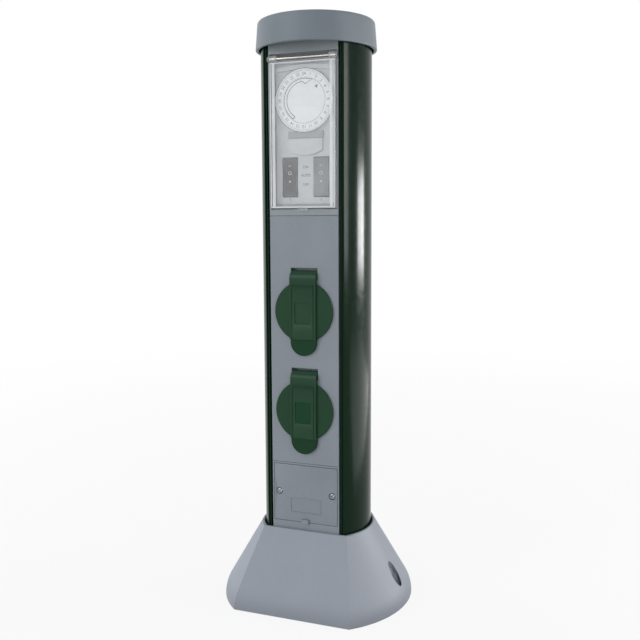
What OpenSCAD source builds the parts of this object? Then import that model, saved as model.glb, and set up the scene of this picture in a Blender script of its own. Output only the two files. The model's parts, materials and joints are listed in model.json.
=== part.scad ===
// Garden power column with a clock timer, two switches and two covered sockets.
// Millimetres, +Z up, front towards -Y, origin on the floor under the column's axis.

/* [Column] */
// Radius of the round green sides
col_r = 47; // [42:0.5:55]
// Distance of the flat front and rear panels from the axis
front_y = 31.3; // [28:0.1:34]
// Width of the grey panels
panel_w = 61.4; // [58:0.2:64]
// Thickness of the panels
panel_t = 2.4; // [2:0.1:3]
// Wall of the green side shells
shell_t = 2.4; // [2:0.1:3]
// Width of the shadow groove beside the panels
groove_w = 1.4; // [0.8:0.1:1.8]
// Height at which the column stands inside the foot
col_z = 42; // [36:1:46]
// Height of the seam over the terminal cover
terminal_z = 124; // [120:1:130]
// Length of the timer panel up to the column's top end
timer_h = 148.4; // [148.4:0.2:152]

/* [Foot] */
// Height of the foot
foot_h = 65; // [60:1:68]
// Half width of the foot on the floor
foot_r = 83.4; // [80:0.2:95]
// Half width of the foot at its top edge
foot_top_r = 49.6; // [49.6:0.2:54]
// How far the arcs of the flanks are centred beyond the axis
flank_shift = 5.4; // [0:0.2:10]
// How much less deep than wide the foot is, at its front and at its back
foot_flat = 15.8; // [14:0.2:16]
// Height at which the flank would meet the skirt, before rounding
skirt_h = 7.2; // [6:0.2:16]
// Height of the upright edge under that rounding
skirt_edge = 0.6; // [0.2:0.1:2]
// Wall of the foot
foot_t = 3; // [2.5:0.1:4]
// Distance of the fixing pockets from the middle
pocket_x = 72.5; // [70:0.5:75]
// Distance of the fixing pockets in front of the axis
pocket_y = 4; // [0:0.5:12]
// Radius of the fixing pockets
pocket_r = 6; // [5.5:0.1:7.5]
// Radius of the fixing screw holes
fix_hole_r = 2.8; // [2:0.1:3.5]
// Thickness of the plate that closes the foot
base_t = 4; // [3:0.5:5]
// Radius of the cable opening in that plate
entry_r = 16; // [15:0.5:18]
// Distance of the cable opening in front of the axis
entry_y = 10; // [8:0.5:12]

/* [Cap] */
// Radius of the cap at its lower edge
cap_r = 51.2; // [50.2:0.1:59]
// Draft of the cap's side, mm over its height
cap_draft = 1.6; // [0:0.1:2]
// Height of the cap
cap_h = 25; // [24:0.5:30]
// How far the column reaches into the cap
cap_lap = 11; // [10:0.5:12]
// Overall height
total_h = 498; // [470:1:560]
// Wall of the cap
cap_t = 2.6; // [2:0.1:2.6]

/* [Sockets] */
// Place of the lower socket along its panel, as a share of the panel's length
lower_ratio = 0.21975; // [0.19:0.001:0.25]
// Place of the upper socket along its panel, as a share of the panel's length
upper_ratio = 0.62193; // [0.58:0.001:0.68]
// Radius of the round lids
lid_r = 26; // [25.5:0.1:27]
// Thickness of the lid's disc
lid_t = 1.8; // [1.6:0.1:2.4]
// Width of the strap over the lid
strap_w = 23.4; // [20:0.2:24]
// How far the strap stands off the panel
strap_y = 4.3; // [3.8:0.1:5]
// Radius of the socket well
well_r = 19.8; // [19.5:0.1:20]
// Depth of the socket well from the panel
well_depth = 17; // [16:0.5:18]
// Half distance of the two socket holes
pole_x = 9.5; // [9:0.1:10]
// Radius of the lid hinge pins
lid_pin_r = 1.2; // [1:0.05:1.4]

/* [Timer] */
// Half width of the clear window
window_x = 29; // [28:0.1:29.2]
// Height of the window's lower edge over the timer seam
window_rise = 6.1; // [5:0.1:7.4]
// Height of the window's hinge over the timer seam
hinge_rise = 127.9; // [127.4:0.1:129.4]
// How far the window stands off the panel
window_y = 2; // [1.6:0.1:2.6]
// Radius of the window's steel rod
rod_r = 1; // [0.8:0.05:1.2]
// Height of the dial's centre over the timer seam
dial_rise = 94; // [93.4:0.1:95.4]
// Radius of the dial
dial_r = 26; // [24:0.1:26.1]
// Radius of the fixed disc in the dial
disc_r = 18.4; // [17:0.1:18.4]
// Half distance between the two rockers
rocker_x = 13.9; // [13:0.1:14.5]
// Height of the rockers' middle over the timer seam
rocker_rise = 31.8; // [30.4:0.1:33.4]
// Width of a rocker
rocker_w = 13.3; // [12:0.1:13.6]
// Height of a rocker
rocker_h = 30.8; // [28:0.2:31]
// Teeth of the gear behind the dial
ring_teeth = 48; // [48:4:48]
// Teeth of the drive pinion
pinion_teeth = 12; // [12:1:12]
// Size of the gear teeth, as pitch diameter over number of teeth
gear_module = 0.8; // [0.75:0.01:0.82]
// Number of tappets round the dial
tappet_count = 48; // [24:24:96]

/* [Terminals] */
// Half width of the terminal cover
cover_x = 29; // [27.5:0.1:29.2]
// Height of the cover's lower edge
cover_z = 71.7; // [70.5:0.1:73]
// Height of the cover
cover_h = 50.3; // [49:0.1:51]
// Half distance of the cover screws
cover_screw_x = 24.4; // [24:0.1:25]
// Radius of the mains cable that the grommet takes
cable_r = 5; // [3.5:0.1:5.5]
// Radius of the internal wires
wire_r = 1.3; // [1:0.1:1.5]

/* [Clearances] */
// Gap between pieces that do not move
seat_gap = 0.2; // [0.1:0.05:0.3]
// Gap between pieces that move past each other
run_gap = 0.3; // [0.25:0.05:0.4]
// Radial gap of a shaft in its hole
shaft_gap = 0.05; // [0.03:0.01:0.08]
// Gap between the column and the foot at the round sides
side_gap = 1.2; // [0.8:0.1:1.6]

/* [Hidden] */
$fn = 72;

grey = [0.57, 0.60, 0.65];
green = [0.10, 0.20, 0.14];
lid_green = [0.12, 0.26, 0.17];
steel = [0.75, 0.76, 0.78];
brass = [0.78, 0.62, 0.30];
black = [0.10, 0.10, 0.11];
white = [0.88, 0.89, 0.91];

e = 0.01;
panel_x = panel_w / 2;
front = -front_y;
inner_y = front + panel_t;
return_d = 6.9;
lip_t = 2.3;
lip_w = 2.7;
tongue_y = front_y - 2;
backing_y = front + 5.9;

cap_z = total_h - cap_h;
col_top = cap_z + cap_lap;
timer_z = col_top - timer_h;
lower_z = terminal_z + lower_ratio * (timer_z - terminal_z);
upper_z = terminal_z + upper_ratio * (timer_z - terminal_z);
window_z = timer_z + window_rise;
hinge_z = timer_z + hinge_rise;
dial_z = timer_z + dial_rise;
rocker_z = timer_z + rocker_rise;

slope_k = (foot_r - foot_top_r) / (foot_h - skirt_h);
foot_lean = atan(slope_k);
foot_round = (skirt_h - skirt_edge) / tan(foot_lean / 2);
foot_inset = foot_t / cos(foot_lean);
plate_gap = seat_gap + foot_inset;

screw_r = 1.4;
boss_r = 3.8;
base_screw = front_y + 2.7;
dome_h = 1.4;
rim_r = 2.6;
hole_r = 1.7;
head_r = 3;
sink_r = 3.4;
cap_sink = 3.4;
strut_r = 2.5;
rear_boss_x = 22;
rear_boss_z = [col_z + 14, terminal_z + 16, timer_z - 23.6, cap_z + 6];
shell_boss = [col_r - 8, 12];
floor_hole = col_r - 13;
strut_x = col_r - 5;
cap_screw_z = cap_z + 6.5;

disc_y = front - run_gap;
lid_axis_y = front + 1.8;
lid_axis_z = 31.4;
knuckle_r = 3.2;
slot_x = strap_w / 2 + run_gap;
mouth_r = well_r + 2.4;
insert_end = front + well_depth + 2.5;
clip_z = 18.4;

window_axis_y = front - 0.3;
opening_x = dial_r + 0.5;
recess_y = front + 3.3;
fascia_y = front + 5.3;
fascia_t = 1.8;
hub_r = 20.2;
ear_x = 23.6;
eye_r = 2.7;
latch_x = 4;
dial_y = front + 2.5;
dial_t = 2.5;
gear_y = front + 11.3;
gear_t = 2.3;
housing_end = -2;
housing_x = opening_x - 0.5;
housing_t = 1.6;
ledge_x = 15.5;
ledge_z = dial_z - 30.6;
pinion_z = dial_z - gear_module * (ring_teeth + pinion_teeth) / 2;
motor_y = gear_y + gear_t + 3.7;
rocker_axis_y = front + 9.2;
rocker_face_y = front + 4;
rocker_reach = norm([rocker_h / 2, rocker_axis_y - rocker_face_y]);
body_h = rocker_reach + 1.35;

box_x = 20;
box_t = 2;
box_y = -6;
box_z0 = cover_z + 4.3;
box_z1 = terminal_z - 5;
cable_y = -15.6;
block_z = cover_z + 25.3;
clamp_z = box_z0 + 7;
clamp_x = 13;
block_x = 17;
block_h = 8;
block_y = -18;
badge_x = 14.3;
badge_low = cover_z + 7.8;
badge_h = 13.5;
pole_step = 10.8;
poles = [for (i = [-1:1]) 0.2 + i * pole_step];
cover_screw_z = cover_z + 25.8;
bus_y = 8;

// Extrudes a shape drawn in X and Z from y0 back to y1.
module along_y(y0, y1)
    translate([0, y1, 0]) rotate([90, 0, 0]) linear_extrude(y1 - y0) children();

// Extrudes a shape drawn in Y and Z from x0 to x1.
module along_x(x0, x1)
    translate([x0, 0, 0]) rotate([90, 0, 90]) linear_extrude(x1 - x0) children();

// A cylinder along Y.
module rod_y(x, z, r, y0, y1)
    translate([x, y0, z]) rotate([-90, 0, 0]) cylinder(r = r, h = y1 - y0);

// A cylinder along X.
module rod_x(y, z, r, x0, x1)
    translate([x0, y, z]) rotate([0, 90, 0]) cylinder(r = r, h = x1 - x0);

// A box between two corners.
module block(low, high) translate(low) cube(high - low);

// Plan of the column: a round cut flat at front and back.
module column_plan(side, flat) intersection() {
    circle(r = col_r + side);
    square([2 * (col_r + side), 2 * (front_y + flat)], center = true);
}

// Half profile of the foot, drawn in by inset and cut off at top.
function foot_side(inset, top) = concat(
    [for (i = [0:12]) let (a = foot_lean * i / 12)
        [foot_r - inset - foot_round * (1 - cos(a)), skirt_edge + foot_round * sin(a)]],
    [[foot_top_r - inset + (foot_h - top) * slope_k, top]]);

// Round form with the foot's flank on one side, its axis beyond the column's.
module foot_flank(s, inset, top, bottom) translate([-s * flank_shift, 0, 0])
    rotate_extrude() polygon(concat([[0, bottom], [foot_r + flank_shift - inset, bottom]],
        [for (p = foot_side(inset, top)) p + [flank_shift, 0]], [[0, top]]));

// The foot's outer form, or its hollow when drawn in.
module foot_form(inset, top, bottom) intersection() {
    foot_flank(1, inset, top, bottom);
    foot_flank(-1, inset, top, bottom);
    along_x(-foot_r, foot_r) polygon(concat(
        [for (p = foot_side(inset, top)) [p[0] - foot_flat, p[1]]],
        [for (i = [13:-1:0]) let (p = foot_side(inset, top)[i]) [foot_flat - p[0], p[1]]],
        [[foot_flat - foot_r + inset, bottom], [foot_r - foot_flat - inset, bottom]]));
}

// A tube along a route with rounded corners.
function corner(a, b, c, r) = let (u = (a - b) / norm(a - b), w = (c - b) / norm(c - b))
    [for (t = [0, 0.25, 0.5, 0.75, 1]) b + u * r * (1 - t) * (1 - t) + w * r * t * t];
function route(pts, r) = concat([pts[0]],
    [for (i = [1:len(pts) - 2]) each corner(pts[i - 1], pts[i], pts[i + 1], r)],
    [pts[len(pts) - 1]]);
function unit(v) = v / norm(v);
function tangent(p, i) = unit(i == 0 ? p[1] - p[0] : i == len(p) - 1 ? p[i] - p[i - 1]
    : unit(p[i + 1] - p[i]) + unit(p[i] - p[i - 1]));
module tube(pts, r, sides = 8) {
    p = route(pts, 6 * r);
    n = len(p);
    side = [1, 0, 0];
    rings = [for (i = [0:n - 1]) let (t = tangent(p, i), u = unit(side - t * (side * t)),
        v = cross(t, u)) each [for (k = [0:sides - 1]) let (a = 360 * k / sides)
            p[i] + r * (u * cos(a) + v * sin(a))]];
    quads = [for (i = [0:n - 2]) for (k = [0:sides - 1]) let (j = (k + 1) % sides,
        a = i * sides) each [[a + k, a + sides + k, a + j], [a + j, a + sides + k, a + sides + j]]];
    ends = [for (k = [1:sides - 2]) each [[0, k, k + 1],
        [(n - 1) * sides, (n - 1) * sides + k + 1, (n - 1) * sides + k]]];
    polyhedron(rings, concat(quads, ends));
}

// Foot and column

module foot() color(grey) difference() {
    union() {
        difference() {
            foot_form(0, foot_h, 0);
            foot_form(foot_inset, foot_h - foot_t, -e);
        }
        intersection() {
            translate([0, 0, col_z - foot_t]) linear_extrude(foot_h - col_z)
                column_plan(side_gap + foot_t, side_gap + foot_t);
            foot_form(e, foot_h - e, 0);
        }
        intersection() {
            for (s = [-1, 1]) translate([s * pocket_x, -pocket_y, 0])
                cylinder(r = pocket_r + 2, h = foot_h);
            foot_form(e, foot_h - e, 0);
        }
        for (s = [-1, 1], t = [-1, 1]) translate([s, t, 0] * base_screw + [0, 0, base_t + seat_gap])
            cylinder(r = boss_r, h = col_z - foot_t - base_t);
    }
    translate([0, 0, col_z]) linear_extrude(foot_h) column_plan(side_gap, run_gap);
    translate([0, 0, col_z - foot_t - 1]) linear_extrude(foot_t + 2) intersection() {
        circle(r = floor_hole);
        square([2 * floor_hole, 44], center = true);
    }
    for (s = [-1, 1]) translate([s * pocket_x, -pocket_y, 0]) {
        translate([0, 0, base_t + 1]) cylinder(r = pocket_r, h = foot_h);
        translate([0, 0, -1]) cylinder(r = fix_hole_r, h = foot_h);
    }
    for (s = [-1, 1], t = [-1, 1]) {
        translate([s * base_screw, t * base_screw, -e]) cylinder(r = screw_r + e, h = 16);
        translate([s * shell_boss[0], t * shell_boss[1], col_z - foot_t - 1])
            cylinder(r = 2.2, h = foot_t + 2);
    }
}

module base_plate() color(grey * 0.6) difference() {
    intersection() {
        foot_form(plate_gap, foot_h - foot_t, 0);
        block([-foot_r, -foot_r, 0], [foot_r, foot_r, base_t]);
    }
    translate([0, -entry_y, -1]) cylinder(r = entry_r, h = base_t + 2);
    for (s = [-1, 1]) translate([s * pocket_x, -pocket_y, -1])
        cylinder(r = pocket_r + 2 + seat_gap, h = base_t + 2);
    for (s = [-1, 1], t = [-1, 1]) translate([s * base_screw, t * base_screw, 0]) {
        translate([0, 0, -1]) cylinder(r = hole_r, h = base_t + 2);
        translate([0, 0, -1]) cylinder(r = sink_r, h = 3);
    }
}

module base_screws() color(steel)
    for (s = [-1, 1], t = [-1, 1]) translate([s * base_screw, t * base_screw, 0]) {
        translate([0, 0, 0.4]) cylinder(r = head_r, h = 1.6);
        translate([0, 0, 0.4]) cylinder(r = screw_r, h = 13);
    }

module foot_screws() color(steel)
    for (s = [-1, 1], t = [-1, 1]) translate([s * shell_boss[0], t * shell_boss[1], 0]) {
        translate([0, 0, col_z - foot_t - 2.2]) cylinder(r = 3.6, h = 2);
        translate([0, 0, col_z - foot_t - 1]) cylinder(r = 1.8, h = 16);
    }

// One green shell on the right; the left one is its mirror image.
module side_shell() color(green) difference() {
    union() {
        translate([0, 0, col_z + seat_gap]) linear_extrude(col_top - col_z - seat_gap)
            intersection() {
                union() {
                    difference() {
                        circle(r = col_r);
                        circle(r = col_r - shell_t);
                    }
                    for (s = [-1, 1]) {
                        translate([panel_x + groove_w, s > 0 ? front_y - shell_t : front])
                            square([shell_t + 3, shell_t]);
                        translate([panel_x + run_gap, s > 0 ? tongue_y - lip_t : -tongue_y])
                            square([shell_t + 4, lip_t]);
                    }
                }
                translate([panel_x, front]) square([col_r, 2 * front_y]);
                circle(r = col_r);
            }
        intersection() {
            for (t = [-1, 1])
                translate([shell_boss[0], t * shell_boss[1], col_z + seat_gap])
                    cylinder(r = 4.2, h = 20);
            translate([0, 0, col_z]) cylinder(r = col_r - 1, h = 40);
        }
    }
    for (t = [-1, 1]) translate([shell_boss[0], t * shell_boss[1], col_z])
        cylinder(r = 1.81, h = 17);
}

module left_side_shell() mirror([1, 0, 0]) side_shell();
module right_side_shell() side_shell();

// Section of a front panel: plate, side returns and lips behind the shells.
module panel_plan() {
    translate([-panel_x, front]) square([panel_w, panel_t]);
    for (s = [-1, 1]) {
        translate([s > 0 ? panel_x - panel_t : -panel_x, front]) square([panel_t, return_d]);
        translate([s > 0 ? panel_x - e : -panel_x - lip_w, front + return_d - lip_t])
            square([lip_w + e, lip_t]);
    }
}

module panel_bar(z0, z1) translate([0, 0, z0]) linear_extrude(z1 - z0) panel_plan();

// Posts behind a panel for the screws from the rear.
module post(z) for (s = [-1, 1]) rod_y(s * rear_boss_x, z, boss_r, inner_y - e, -seat_gap);
module post_hole(z) for (s = [-1, 1])
    rod_y(s * rear_boss_x, z, screw_r + e, inner_y + 4, 1);

module rear_panel() color(grey) difference() {
    union() {
        rotate([0, 0, 180]) panel_bar(col_z + seat_gap, col_top);
        for (z = rear_boss_z, s = [-1, 1])
            rod_y(s * rear_boss_x, z, boss_r, 0, front_y - 1);
        rod_y(0, cap_screw_z, boss_r, 18, front_y - 1);
    }
    for (z = rear_boss_z, s = [-1, 1]) {
        rod_y(s * rear_boss_x, z, hole_r, -1, front_y + 1);
        rod_y(s * rear_boss_x, z, sink_r, front_y - 3, front_y + 1);
    }
    rod_y(0, cap_screw_z, screw_r + e, 20, front_y + 1);
}

module rear_screws() color(steel) for (z = rear_boss_z, s = [-1, 1]) {
    rod_y(s * rear_boss_x, z, head_r, front_y - 3 + e, front_y - 0.8);
    rod_y(s * rear_boss_x, z, screw_r, -14, front_y - 2);
}

// Half profile of the cap's outside, with a rounded rim and a slight dome.
function cap_side(inset) = let (x = cap_r - cap_draft - inset,
    z = total_h - dome_h - inset)
    concat([[cap_r - inset, cap_z]],
        [for (a = [0:15:75]) [x - rim_r * (1 - cos(a)), z - rim_r * (1 - sin(a))]],
        [for (t = [0:0.2:1]) [(x - rim_r) * (1 - t), z + dome_h * (1 - (1 - t) * (1 - t))]]);

module cap() color(grey * 0.95) difference() {
    union() {
        rotate_extrude() difference() {
            polygon(concat([[0, cap_z]], cap_side(0)));
            polygon(concat([[0, cap_z - 1]], [[cap_r - cap_t, cap_z - 1]], cap_side(cap_t)));
        }
        rod_y(0, cap_screw_z, boss_r, front_y + seat_gap, cap_r - cap_t);
        for (s = [-1, 1], t = [-1, 1]) translate([s * strut_x, t * shell_boss[1], col_top + seat_gap])
            cylinder(r = strut_r, h = cap_h - cap_lap - seat_gap - dome_h - cap_t / 2);
    }
    rod_y(0, cap_screw_z, hole_r, front_y - 1, cap_r + 1);
    rod_y(0, cap_screw_z, sink_r, cap_r - cap_sink, cap_r + 1);
}

module cap_screw() color(steel) {
    rod_y(0, cap_screw_z, head_r, cap_r - cap_sink + e, cap_r - cap_sink / 2);
    rod_y(0, cap_screw_z, screw_r, front_y - 8, cap_r - 3);
}

// Terminal compartment

module terminal_frame() color(grey) difference() {
    union() {
        panel_bar(col_z + seat_gap, terminal_z - seat_gap / 2);
        block([-panel_x + 1, inner_y - e, box_z0 - 8], [panel_x - 1, backing_y, box_z1 + 4]);
        block([-box_x - box_t, backing_y - e, box_z0 - box_t],
            [box_x + box_t, box_y + box_t, box_z1]);
        for (s = [-1, 1]) rod_y(s * cover_screw_x, cover_screw_z, 3.2, backing_y - e, -20);
        post(rear_boss_z[0]);
    }
    block([-cover_x - run_gap, front - 1, cover_z - run_gap],
        [cover_x + run_gap, recess_y, cover_z + cover_h + run_gap]);
    block([-box_x, front, box_z0 + 4], [box_x, box_y, box_z1 - box_t]);
    block([-box_x, backing_y, box_z0], [box_x, box_y, box_z1 - box_t]);
    translate([0, cable_y, box_z0 - 5]) cylinder(r = cable_r + 3, h = 8);
    block([-pole_step - 2.2, block_y, box_z1 - 5], [pole_step + 2.2, -8, box_z1 + 1]);
    for (s = [-1, 1]) {
        rod_y(s * cover_screw_x, cover_screw_z, screw_r + e, front - 1, -21);
        rod_y(s * clamp_x, clamp_z, screw_r + e, box_y - 1, box_y + box_t + 1);
    }
    post_hole(rear_boss_z[0]);
}

module terminal_cover() color(grey) difference() {
    union() {
        block([-cover_x, front, cover_z], [cover_x, front + 2.2, cover_z + cover_h]);
        difference() {
            block([-badge_x, front - 0.4, badge_low], [badge_x, front + 1, badge_low + badge_h]);
            block([-badge_x + 1, front - 1, badge_low + 1],
                [badge_x - 1, front, badge_low + badge_h - 1]);
        }
        block([-3.3, front - 1.9, cover_z - 1.5], [3.3, front - 0.1, cover_z + 2.7]);
        block([-3.3, front - 1.9, cover_z], [3.3, front + e, cover_z + 2.7]);
    }
    for (s = [-1, 1]) {
        rod_y(s * cover_screw_x, cover_screw_z, 3.1, front - 1, front + 1.2);
        rod_y(s * cover_screw_x, cover_screw_z, hole_r, front, front + 3);
    }
}

module cover_screws() color(steel) for (s = [-1, 1]) difference() {
    union() {
        rod_y(s * cover_screw_x, cover_screw_z, 2.6, front - 0.5, front + 1.2 - e);
        rod_y(s * cover_screw_x, cover_screw_z, screw_r, front + 1, front + 9);
    }
    for (a = [0, 90]) translate([s * cover_screw_x, front - 0.5, cover_screw_z])
        rotate([0, a, 0]) cube([2.8, 1.6, 0.6], center = true);
}

module cover_seal() color(black) difference() {
    block([-cover_x + 0.5, front + 2.3, cover_z + 0.5],
        [cover_x - 0.5, recess_y - e, cover_z + cover_h - 0.5]);
    block([-21.8, front, cover_z + 8.5], [21.8, recess_y + 1, cover_z + cover_h - 6.5]);
    for (s = [-1, 1]) rod_y(s * cover_screw_x, cover_screw_z, 1.8, front, recess_y + 1);
}

module terminal_block() color(white) difference() {
    union() {
        block([-block_x, block_y, block_z - block_h],
            [block_x, box_y - seat_gap, block_z + block_h]);
        for (x = [-block_x, -6, 5, block_x - 1.4])
            block([x, block_y - 2, block_z - block_h], [x + 1.4, block_y + 1, block_z + block_h]);
    }
    for (x = poles, s = [-1, 1]) {
        rod_y(x, block_z + s * 4.5, 1.9, -19, -11);
        translate([x, -13, s > 0 ? block_z + 1 : block_z - 9]) cylinder(r = 1.6, h = 8);
    }
}

module terminal_screws() color(brass) for (x = poles, s = [-1, 1])
    rod_y(x, block_z + s * 4.5, 1.8, -17.6, -14.7);

module cable_grommet() color(black) translate([0, cable_y, 0]) rotate_extrude()
    polygon([[cable_r, box_z0 - 4.2], [cable_r + 4, box_z0 - 4.2], [cable_r + 4, box_z0 - 2.2],
        [cable_r + 2.9, box_z0 - 2.2], [cable_r + 2.9, box_z0 + 0.1],
        [cable_r + 4, box_z0 + 0.1], [cable_r + 4, box_z0 + 1.6], [cable_r, box_z0 + 1.6]]);

module cord_clamp() color(black) difference() {
    union() {
        block([-clamp_x - 3, -23.6, clamp_z - 2.5], [clamp_x + 3, -21.2, clamp_z + 2.5]);
        for (s = [-1, 1]) rod_y(s * clamp_x, clamp_z, 2.4, -22, box_y - seat_gap);
    }
    for (s = [-1, 1]) rod_y(s * clamp_x, clamp_z, screw_r + e, -24, box_y);
}

module clamp_screws() color(steel) for (s = [-1, 1]) {
    rod_y(s * clamp_x, clamp_z, 2.3, -25, -23.6 - e);
    rod_y(s * clamp_x, clamp_z, screw_r, -24, box_y + 1.6);
}

// Sockets

module socket_panel() color(grey) difference() {
    union() {
        panel_bar(terminal_z + seat_gap / 2, timer_z - seat_gap / 2);
        for (c = [lower_z, upper_z], s = [-1, 1])
            block([s > 0 ? slot_x : -slot_x - 3.2, inner_y - e, c + lid_axis_z - 3.4],
                [s > 0 ? slot_x + 3.2 : -slot_x, lid_axis_y + 3, c + lid_axis_z + 3.4]);
        post(rear_boss_z[1]);
        post(rear_boss_z[2]);
    }
    for (c = [lower_z, upper_z]) {
        rod_y(0, c, mouth_r, front - 1, inner_y + 1);
        rod_y(0, c, lid_r - 0.9, front - 1, front + 1.4);
        block([-slot_x, front - 1, c + lid_r + 0.8], [slot_x, inner_y + 1, c + 36.6]);
        rod_x(lid_axis_y, c + lid_axis_z, lid_pin_r + 0.02, -slot_x - 3, slot_x + 3);
    }
    post_hole(rear_boss_z[1]);
    post_hole(rear_boss_z[2]);
}

// The round lid with its strap, drawn about the well's centre.
module lid() color(lid_green) difference() {
    union() {
        rod_y(0, 0, lid_r, disc_y - lid_t, disc_y);
        difference() {
            rod_y(0, 0, mouth_r - 0.7, disc_y - e, front + 2.3);
            rod_y(0, 0, mouth_r - 2.4, disc_y, front + 3);
        }
        intersection() {
            translate([0, 0, -25.8]) linear_extrude(27.4 + 25.8) polygon([
                [-strap_w / 2, disc_y - e], [-strap_w / 2, disc_y - lid_t - 0.8],
                [-strap_w / 2 + 1.1, front - strap_y], [strap_w / 2 - 1.1, front - strap_y],
                [strap_w / 2, disc_y - lid_t - 0.8], [strap_w / 2, disc_y - e]]);
            along_x(-strap_w, strap_w) polygon([[disc_y + 1, -26], [disc_y + 1, 30],
                [front - strap_y - 1, 30], [front - strap_y - 1, -23.5],
                [front - strap_y + 1.3, -23.6], [front - strap_y + 1.3, -26]]);
        }
        intersection() {
            rod_y(0, -25.8, strap_w / 2, front - strap_y + 1.3, disc_y);
            block([-strap_w, front - 9, -40], [strap_w, front, -25.7]);
        }
        along_x(-strap_w / 2 + 0.1, strap_w / 2 - 0.1) polygon([[front - strap_y, 27.3],
            [lid_axis_y - knuckle_r + 0.2, lid_axis_z + 0.6], [lid_axis_y, lid_axis_z],
            [disc_y - 0.2, 27.5], [disc_y - 0.2, 25.8], [front - strap_y, 25.8]]);
        rod_x(lid_axis_y, lid_axis_z, knuckle_r, -strap_w / 2 + 0.1, strap_w / 2 - 0.1);
    }
    block([-7.2, front - 9, -10.6], [7.2, front - strap_y + 0.5, 8]);
    rod_x(lid_axis_y, lid_axis_z, lid_pin_r + shaft_gap, -strap_w, strap_w);
    rod_x(lid_axis_y, lid_axis_z, knuckle_r + 0.4, -3.2, 3.2);
}

module lid_pin() color(steel)
    rod_x(lid_axis_y, lid_axis_z, lid_pin_r, -slot_x - 2.9, slot_x + 2.9);

module lid_spring() color(steel) difference() {
    rod_x(lid_axis_y, lid_axis_z, lid_pin_r + 1.3, -2.9, 2.9);
    rod_x(lid_axis_y, lid_axis_z, lid_pin_r + 0.1, -3, 3);
}

module lid_seal() color(black) difference() {
    rod_y(0, 0, lid_r - 1, front - 0.1, front + 1.35);
    rod_y(0, 0, mouth_r + 0.2, front - 1, front + 2);
}

module socket_insert() color(grey * 0.9) difference() {
    union() {
        rod_y(0, 0, lid_r - 0.5, inner_y + 0.1, inner_y + 2.1);
        rod_y(0, 0, well_r + 2.1, front + 3.2, insert_end);
        block([-15, insert_end - e, -8], [15, insert_end + 11, 8]);
    }
    rod_y(0, 0, well_r, front, front + well_depth);
    for (s = [-1, 1]) {
        rod_y(s * pole_x, 0, 2.8, front, insert_end + 1);
        rod_y(s * pole_x, 0, 3.5, insert_end, insert_end + 12);
        block([-2.8, front + well_depth - 1, s * clip_z - 0.7],
            [2.8, insert_end + 1, s * clip_z + 0.7]);
    }
}

module contacts() color(brass) for (s = [-1, 1]) difference() {
    rod_y(s * pole_x, 0, 3.4, insert_end + 0.1, insert_end + 11.5);
    rod_y(s * pole_x, 0, 2.45, insert_end, insert_end + 10);
}

module earth_clips() color(brass) for (s = [-1, 1])
    block([-2.5, front + 5, s * clip_z - 0.4], [2.5, insert_end + 4, s * clip_z + 0.4]);

module at_lower() translate([0, 0, lower_z]) children();
module at_upper() translate([0, 0, upper_z]) children();
module upper_lid() at_upper() lid();
module upper_lid_pin() at_upper() lid_pin();
module upper_lid_spring() at_upper() lid_spring();
module upper_lid_seal() at_upper() lid_seal();
module upper_socket_insert() at_upper() socket_insert();
module upper_contacts() at_upper() contacts();
module upper_earth_clips() at_upper() earth_clips();
module lower_lid() at_lower() lid();
module lower_lid_pin() at_lower() lid_pin();
module lower_lid_spring() at_lower() lid_spring();
module lower_lid_seal() at_lower() lid_seal();
module lower_socket_insert() at_lower() socket_insert();
module lower_contacts() at_lower() contacts();
module lower_earth_clips() at_lower() earth_clips();

// Timer

module timer_frame() color(grey) difference() {
    union() {
        panel_bar(timer_z + seat_gap / 2, col_top);
        block([-panel_x + 1, inner_y - e, window_z - 3], [panel_x - 1, backing_y, hinge_z + 7]);
        for (s = [-1, 1]) rod_x(window_axis_y, hinge_z, 2.4,
            s > 0 ? window_x + 0.6 : -panel_x, s > 0 ? panel_x : -window_x - 0.6);
        post(rear_boss_z[3]);
    }
    block([-window_x - 0.6, front - 4, window_z - 0.7], [window_x + 0.6, recess_y, hinge_z + 4]);
    block([-opening_x, front, window_z + 3.8], [opening_x, 0, hinge_z - 2.5]);
    block([-window_x, fascia_y - seat_gap, window_z + 1.4], [window_x, 0, hinge_z - 0.6]);
    rod_x(window_axis_y, hinge_z, rod_r + 0.02, -panel_x - 1, panel_x + 1);
    post_hole(rear_boss_z[3]);
}

module timer_fascia() color(grey * 1.15) difference() {
    union() {
        block([-window_x + 0.8, fascia_y, window_z + 1.8],
            [window_x - 0.8, fascia_y + fascia_t, hinge_z - 1]);
        intersection() {
            block([-ledge_x, fascia_y - 2, ledge_z - 19], [ledge_x, fascia_y + e, ledge_z]);
            rod_y(0, ledge_z + 16, 30, fascia_y - 3, fascia_y + 1);
        }
    }
    rod_y(0, dial_z, hub_r + 2 * run_gap, fascia_y - 1, fascia_y + fascia_t + 1);
    for (s = [-1, 1]) block([s * rocker_x - rocker_w / 2 - 0.3, fascia_y - 1,
        rocker_z - rocker_reach - 0.3], [s * rocker_x + rocker_w / 2 + 0.3,
        fascia_y + fascia_t + 1, rocker_z + rocker_reach + 0.3]);
}

module timer_housing() color(black * 2.5) difference() {
    union() {
        difference() {
            block([-housing_x, fascia_y + fascia_t + 0.1, window_z + 2.3],
                [housing_x, housing_end, hinge_z - 3]);
            block([-housing_x + housing_t, front, window_z + 2.3 + housing_t],
                [housing_x - housing_t, housing_end - housing_t, hinge_z - 3 - housing_t]);
        }
        rod_y(0, dial_z, 7, motor_y, housing_end - 1.5);
    }
    rod_y(0, dial_z, 4.02, motor_y - 1, housing_end - 3);
}

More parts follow.
